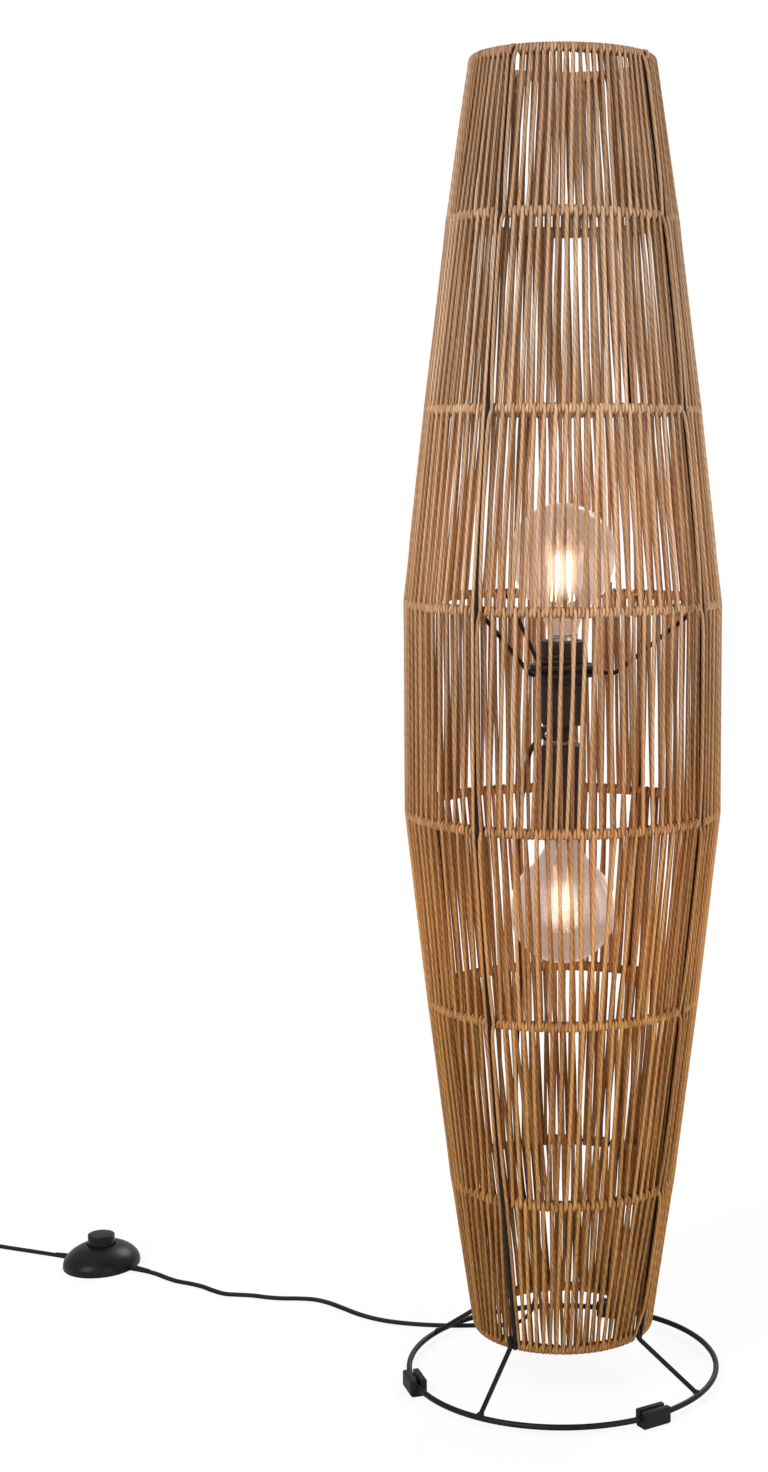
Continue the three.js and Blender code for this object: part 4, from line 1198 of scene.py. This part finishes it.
def weld(spot, size, seed):
    """A small cast bead of weld metal, lumpy as it set."""
    work = bmesh.new()
    bmesh.ops.create_icosphere(work, subdivisions=3, radius=1.0)
    for vertex in work.verts:
        lump = 1 + 0.22 * noise.noise(vertex.co * 1.7 + Vector((seed, 0, 0)))
        vertex.co = Vector([axis * scale for axis, scale in zip(vertex.co * lump, size)]) + spot
    return mesh_from(work)


def add_wire_frame():
    for index, (radius, height) in enumerate(zip(RING_RADII, RING_HEIGHTS)):
        points = ring_points(radius, height, 96)
        wire_piece(f"shade_ring_{index + 1}", points, RING_WIRE, [f"ring_{index + 1}"], True)
    wire_piece("foot_ring", ring_points(BASE_RADIUS, BASE_HEIGHT, 144), BASE_ROD, ["base_ring"], True, 16)
    welds = []
    for name, angle in UPRIGHT_ANGLES.items():
        points = [place(radius * SEAT_SHARE + UPRIGHT_OFFSET, angle, height)
                  for radius, height in zip(RING_RADII, RING_HEIGHTS)]
        points[0].z += RING_WIRE / 2
        points[-1].z -= RING_WIRE
        wire_piece(f"shade_upright_{name}", rounded_bends(points, 0.006), UPRIGHT_WIRE, [f"upright_{name}"])

        tab = RING_RADII[-1] + RING_WIRE / 2 + CLEARANCE + SPOKE_WIRE / 2
        aside = angle - math.degrees((UPRIGHT_WIRE / 2 + SPOKE_WIRE / 2 + 0.0006) / tab)
        bend = place(tab, aside, RING_HEIGHTS[-1] - RING_WIRE / 2)
        end = place(BASE_RADIUS, angle, BASE_HEIGHT)
        down = (end - bend).normalized()
        points = [bend + UP * SPOKE_TAB, bend, end - down * (BASE_ROD / 2 + 0.0001)]
        wire_piece(f"foot_spoke_{name}", rounded_bends(points, 0.005), SPOKE_WIRE, [f"spoke_{name}"])
        welds.append(weld(end - down * 0.0028 + UP * 0.0004, BASE_WELD, angle))
        welds.append(weld(place(tab - 0.0008, aside + 1.6, RING_HEIGHTS[-1] - 0.001), TAB_WELD, angle + 9))
    solid("frame_welds", joined(welds, sharp=80), "black_wire")
    for foot in FEET:
        solid(f"{foot}_clip", softened_copy(foot, 0.0009, 4), "black_rubber", [foot])


# The lampholders, their carrier and the bulbs

def paired(profile, side):
    """A profile measured from the pair's middle, for the upper lampholder (side 1) or the lower one (-1)."""
    return [(radius, PAIR_HEIGHT + side * height) for radius, height in profile]


def turned_solid(name, profile, side, steps, slot, nodes=(), body="lamp", shape=None, sharp=38):
    return solid(name, turned(paired(profile, side), steps, shape, sharp), slot, nodes, body)


def wave(angle):
    return 0.5 - 0.5 * math.cos(angle)


def thread(pitch, depth, side, low, high):
    """A right-handed round thread between two heights of one half of the pair, cut into the radius given."""
    low, high = sorted((PAIR_HEIGHT + side * low, PAIR_HEIGHT + side * high))

    def shape(radius, height, angle):
        if not low - 1e-6 <= height <= high + 1e-6:
            return radius
        fade = min(1.0, (height - low) / pitch + 0.02, (high - height) / pitch + 0.02)
        return radius - depth * fade * wave(2 * math.pi * height / pitch - angle)
    return shape


def fine_rows(radius, low, high, step):
    """Rows of the same radius from one height to another, close enough to show a thread."""
    count = max(2, round(abs(high - low) / step))
    return [(radius, low + (high - low) * row / count) for row in range(count + 1)]


def add_holder(name, side):
    inner = HOLDER_RADIUS - HOLDER_WALL
    floor = HOLDER_BACK + HOLDER_FLOOR
    groove = HOLDER_RADIUS - 0.0006
    profile = [(HOLDER_HOLE, HOLDER_BACK), (HOLDER_RADIUS - 0.0032, HOLDER_BACK),
               (HOLDER_RADIUS, HOLDER_BACK + 0.0045), (HOLDER_RADIUS, HOLDER_JOINT - 0.0065),
               (groove, HOLDER_JOINT - 0.006), (groove, HOLDER_JOINT - 0.005),
               (HOLDER_RADIUS, HOLDER_JOINT - 0.0045), (HOLDER_RADIUS, HOLDER_JOINT), (inner, HOLDER_JOINT),
               (inner, floor), (HOLDER_HOLE, floor)]
    turned_solid(f"{name}_lampholder_cup", softened(profile, 0.0012, 4, True), side, 64, "black_plastic",
                 [f"{name}_holder_cup"])

    start = HOLDER_JOINT + CLEARANCE
    low, high = HOLDER_JOINT + 0.003, HOLDER_MOUTH - 0.0065
    profile = [(SKIRT_BORE, start), (SKIRT_RADIUS, start), (SKIRT_RADIUS, low - 0.0004)]
    profile += fine_rows(SKIRT_RADIUS, low, high, THREAD_PITCH / 9)
    profile += [(SKIRT_RADIUS, high + 0.0004), (SKIRT_RADIUS, HOLDER_MOUTH - 0.0008),
                (SKIRT_RADIUS - 0.0008, HOLDER_MOUTH), (SKIRT_BORE + 0.0006, HOLDER_MOUTH),
                (SKIRT_BORE, HOLDER_MOUTH - 0.0006)]
    cutter = thread(THREAD_PITCH, THREAD_DEPTH, side, low, high)

    def skirt(radius, height, angle):
        return cutter(radius, height, angle) if radius == SKIRT_RADIUS else radius

    turned_solid(f"{name}_lampholder_skirt", profile, side, 72, "black_plastic", [f"{name}_holder_skirt"],
                 shape=skirt, sharp=60)

    top = HOLDER_MOUTH - 0.003
    rows = fine_rows(SKIRT_BORE - CLEARANCE, top - 0.02, top, 0.0005)
    back = [(radius - SHELL_WALL, height) for radius, height in reversed(rows)]
    cap_thread = thread(CAP_PITCH, 0.0005, side, top - 0.0195, top - 0.0015)
    turned_solid(f"{name}_lampholder_shell", rows + back, side, 56, "brass", [f"{name}_holder_shell"],
                 shape=cap_thread, sharp=60)


def add_carrier():
    """A washer between two knurled clamp rings on the upper lampholder, and three arms to the belly ring."""
    middle = PAIR_HEIGHT + CARRIER_HEIGHT
    bore = SKIRT_RADIUS + CLEARANCE
    low, high = middle - WASHER / 2, middle + WASHER / 2
    profile = [(bore, low), (CARRIER_RADIUS, low), (CARRIER_RADIUS, high), (bore, high)]
    plate = turned(softened(profile, 0.0004, closed=True), 96)
    solid("carrier_plate", plate, "black_wire", ["carrier_washer"])

    def knurl(radius, height, angle):
        return radius if radius < CLAMP_RADIUS - 0.0004 else radius - 0.0007 * (1 - wave(42 * angle)) ** 3

    for name, way in (("upper", 1), ("lower", -1)):
        profile = [(bore, 0), (CLAMP_RADIUS - 0.001, 0), (CLAMP_RADIUS, 0.0008),
                   (CLAMP_RADIUS, CLAMP_HEIGHT - 0.0008), (CLAMP_RADIUS - 0.001, CLAMP_HEIGHT),
                   (bore + 0.004, CLAMP_HEIGHT), (bore + 0.0035, CLAMP_HEIGHT - 0.0006),
                   (bore, CLAMP_HEIGHT - 0.0006)]
        face = middle + way * (WASHER / 2 + CLEARANCE)
        profile = [(radius, face + way * height) for radius, height in profile]
        ring = turned(softened(profile, 0.0003, 2, True), 336, knurl)
        solid(f"shade_ring_clamp_{name}", ring, "black_plastic", [f"clamp_ring_{name}"])

    for name, angle in ARM_ANGLES.items():
        bend = place(ARM_REACH, angle, middle + ARM_WIRE / 2)
        seat = place(RING_RADII[ARM_RING] * SEAT_SHARE, angle, RING_HEIGHTS[ARM_RING])
        along = (seat - bend).normalized()
        points = [place(CARRIER_RADIUS - 0.0004, angle, middle), place(ARM_REACH - ARM_WIRE, angle, middle),
                  bend, seat - along * (RING_WIRE / 2 - 0.0004)]
        wire_piece(f"carrier_wire_{name}", rounded_bends(points, 0.007), ARM_WIRE, [f"carrier_arm_{name}"])


def add_nipple_and_grip():
    half = HOLDER_BACK + 0.0046
    rows = fine_rows(NIPPLE_RADIUS, PAIR_HEIGHT - half, PAIR_HEIGHT + half, NIPPLE_PITCH / 5)
    back = [(NIPPLE_BORE, PAIR_HEIGHT + half), (NIPPLE_BORE, PAIR_HEIGHT - half)]
    nipple = turned(rows + back, 40, lambda radius, height, angle: radius if radius == NIPPLE_BORE else
                    radius - 0.00035 * wave(2 * math.pi * height / NIPPLE_PITCH - angle), 60)
    solid("threaded_nipple", nipple, "brass", ["nipple"])
    solid("cord_grip_block", softened_copy("cord_grip", 0.0009), "black_plastic", ["cord_grip"])
    head = [(0, 0), (0.0026, 0), (0.0026, 0.0009), (0.0018, 0.0015), (0, 0.0016)]
    turn = Matrix.Translation((-0.0135, -0.0062, PAIR_HEIGHT + 0.0008)) @ ON_SIDE
    solid("grip_screw", moved(turned(softened(head, 0.0003, 2), 32), turn), "nickel_plate")


def glass_rows(radius, inset, neck, centre, steps):
    """The outline of a globe from its neck to its tip."""
    start = math.radians(145)
    shoulder = centre + radius * math.cos(start)
    corners = [Vector((NECK_RADIUS - inset, neck))]
    for wide, high in ((1.05, 0.14), (1.25, 0.42), (1.63, 0.72)):
        corners.append(Vector((NECK_RADIUS * wide - inset, neck + (shoulder - neck) * high)))
    for angle in (145, 135, 125):
        turn = math.radians(angle)
        corners.append(Vector((radius * math.sin(turn), centre + radius * math.cos(turn))))
    rows = [(point.x, point.y) for point in smooth_line(corners, 4)[:-8]]
    for step in range(1, steps + 1):
        angle = start * (1 - step / steps)
        rows.append((0 if step == steps else radius * math.sin(angle), centre + radius * math.cos(angle)))
    return rows


def add_bulb(name, side):
    body = f"{name}_bulb"
    contact = HOLDER_MOUTH - BULB_INSERTION
    cap_top = contact + CAP_LENGTH
    neck = cap_top + CLEARANCE
    centre = contact + BULB_LENGTH - GLOBE_RADIUS

    low, high = contact + 0.005, cap_top - 0.0035
    profile = [(0, low - 0.0005), (0.0095, low - 0.0005), (0.0126, low)]
    profile += fine_rows(CAP_RADIUS, low + 0.0003, high, 0.00042)
    profile += [(CAP_RADIUS, high + 0.0008), (CAP_RADIUS, cap_top - 0.0008),
                (CAP_RADIUS + 0.0003, cap_top - 0.0004), (CAP_RADIUS + 0.0003, cap_top), (0, cap_top)]
    turned_solid(f"{body}_screw_cap", profile, side, 56, "nickel_plate", [f"{body}_cap"], body,
                 thread(CAP_PITCH, 0.0008, side, low + 0.0003, high), 60)
    profile = [(0, contact + 0.0012), (0.0048, contact + 0.0012), (0.0098, low - 0.0006), (0, low - 0.0006)]
    turned_solid(f"{body}_insulator", softened(profile, 0.0006), side, 48, "black_plastic", body=body)
    profile = [(0, contact), (0.0034, contact + 0.0002), (0.0046, contact + 0.0013), (0, contact + 0.0013)]
    turned_solid(f"{body}_contact", softened(profile, 0.0007), side, 40, "nickel_plate", body=body)

    outside = glass_rows(GLOBE_RADIUS, 0, neck, centre, 34)
    inside = glass_rows(GLOBE_RADIUS - GLASS_WALL, GLASS_WALL, neck, centre, 34)
    turned_solid(f"{body}_globe", inside[::-1] + outside, side, 72, "clear_glass", [f"{body}_glass"], body)

    top = neck + FILAMENT_TOP
    rod_top = top - FILAMENT_LENGTH - 0.006
    profile = [(0, neck), (0.0105, neck), (0.0100, neck + 0.0009), (0.0062, neck + 0.004),
               (0.0036, neck + 0.0095), (0.0034, rod_top - 0.003), (0.0040, rod_top),
               (0.0024, rod_top + 0.0022), (0.0008, rod_top + 0.0035), (0.0008, top), (0, top)]
    turned_solid(f"{body}_glass_stem", softened(profile, 0.002, 4), side, 32, "clear_glass", [f"{body}_stem"],
                 body)

    def spot(radius, angle, height):
        return place(radius, angle, PAIR_HEIGHT + side * height)

    hub = top + CLEARANCE
    out = FILAMENT_HUB[name] - 0.0009
    sticks, wires, star = [], [], []
    for angle in range(45, 360, 90):
        upper = spot(out, angle, hub + 0.0006)
        lower = spot(out + FILAMENT_SPLAY[name], angle, hub - FILAMENT_LENGTH)
        along = (upper - lower).normalized()
        ends = [lower + along * step for step in (0.0, 0.0003, 0.0009)]
        tops = [upper - along * step for step in (0.0009, 0.0003, 0.0)]
        sticks.append((ends + tops, False, [0.0022, 0.0040, 0.0046, 0.0046, 0.0040, 0.0022], 0.5))
        foot, knee = spot(0.0030, angle, rod_top + 0.001), spot(0.0036, angle, rod_top + 0.0036)
        wires.append(([foot, knee, lower - along * 0.0009, lower + along * 0.0004], False, 0.0005, 0.5))
        star.append(([spot(0, 0, hub + 0.0006), spot(out, angle, hub + 0.0008)], False, 0.0006, 0.5))
    tube_piece(f"{body}_filament_sticks", sticks, WIRE_TREE, "filament", 10, [f"{body}_filaments"], body)
    tube_piece(f"{body}_lead_wires", wires + star, WIRE_TREE, "nickel_plate", 8, (), body)


# The room: a white floor and soft studio light

FLOOR_RADIUS = 1.25
FLOOR_LEVEL = -0.0002
FLOOR_WHITE = 0.9
FLOOR_GLOW = 1.03
FLOOR_GLOW_SHARE = 0.84
WORLD_SEEN, WORLD_UNSEEN, WORLD_MIRRORED = 1.0, 0.44, 0.3
# Each lamp of the studio: its place, what it points at, its size and its power
STUDIO = {
    "key": ((-1.7, -2.3, 2.3), (0, 0, 0.65), (1.4, 1.8), 74),
    "fill": ((2.2, -1.8, 1.3), (0, 0, 0.6), (1.2, 1.8), 36),
    "rim": ((0.9, 2.4, 2.1), (0, 0, 0.7), (1.2, 1.2), 34),
}
GLOW_POWER = 1.0
GLOW_COLOUR = (1.0, 0.58, 0.30)
GLOW_REACH = 0.150
GLOW_SIZE = 0.02


def seen_directly(rays):
    return rays["Is Camera Ray"].math("MAXIMUM", rays["Is Transmission Ray"])


def add_floor():
    work = bmesh.new()
    bmesh.ops.create_circle(work, cap_ends=True, segments=96, radius=FLOOR_RADIUS)
    mesh = moved(mesh_from(work), Matrix.Translation((0, 0, FLOOR_LEVEL)))
    material = bpy.data.materials.new("white_floor")
    material.use_nodes = True
    tree = material.node_tree
    tree.nodes.clear()
    plain = Node(tree, "ShaderNodeBsdfDiffuse", {"Color": (FLOOR_WHITE, FLOOR_WHITE, FLOOR_WHITE, 1)})
    bright = Node(tree, "ShaderNodeEmission", {"Color": (1, 1, 1, 1), "Strength": FLOOR_GLOW})
    share = seen_directly(Node(tree, "ShaderNodeLightPath")) * FLOOR_GLOW_SHARE
    mixed = Node(tree, "ShaderNodeMixShader", {0: share, 1: plain[0], 2: bright[0]})
    Node(tree, "ShaderNodeOutputMaterial", {"Surface": mixed[0]})
    mesh.materials.append(material)
    linked("floor", mesh)


def add_light(name, kind, spot, power, colour=(1, 1, 1)):
    data = bpy.data.lights.new(name, kind)
    data.energy = power
    data.color = colour
    lamp = bpy.data.objects.new(name, data)
    lamp.location = spot
    scene.collection.objects.link(lamp)
    return lamp


def add_room():
    add_floor()
    world = bpy.data.worlds.new("studio")
    world.use_nodes = True
    tree = world.node_tree
    tree.nodes.clear()
    rays = Node(tree, "ShaderNodeLightPath")
    white = seen_directly(rays).math("MAXIMUM", rays["Is Glossy Ray"] * WORLD_MIRRORED)
    strength = white.math("MULTIPLY_ADD", WORLD_SEEN - WORLD_UNSEEN, WORLD_UNSEEN)
    back = Node(tree, "ShaderNodeBackground", {"Color": (1, 1, 1, 1), "Strength": strength})
    Node(tree, "ShaderNodeOutputWorld", {"Surface": back[0]})
    scene.world = world
    for name, (spot, target, size, power) in STUDIO.items():
        lamp = add_light(name, "AREA", spot, power)
        lamp.data.shape = "RECTANGLE"
        lamp.data.size, lamp.data.size_y = size
        lamp.rotation_euler = (Vector(target) - Vector(spot)).to_track_quat("-Z", "Y").to_euler()
    for name, way in (("upper", 1), ("lower", -1)):
        spot = (0, 0, PAIR_HEIGHT + way * GLOW_REACH)
        lamp = add_light(f"{name}_glow", "POINT", spot, GLOW_POWER, GLOW_COLOUR)
        lamp.data.shadow_soft_size = GLOW_SIZE


add_windings()
add_wire_frame()
for holder, way in (("upper", 1), ("lower", -1)):
    add_holder(holder, way)
    add_bulb(holder, way)
add_carrier()
add_nipple_and_grip()
add_room()

bpy.context.view_layer.update()
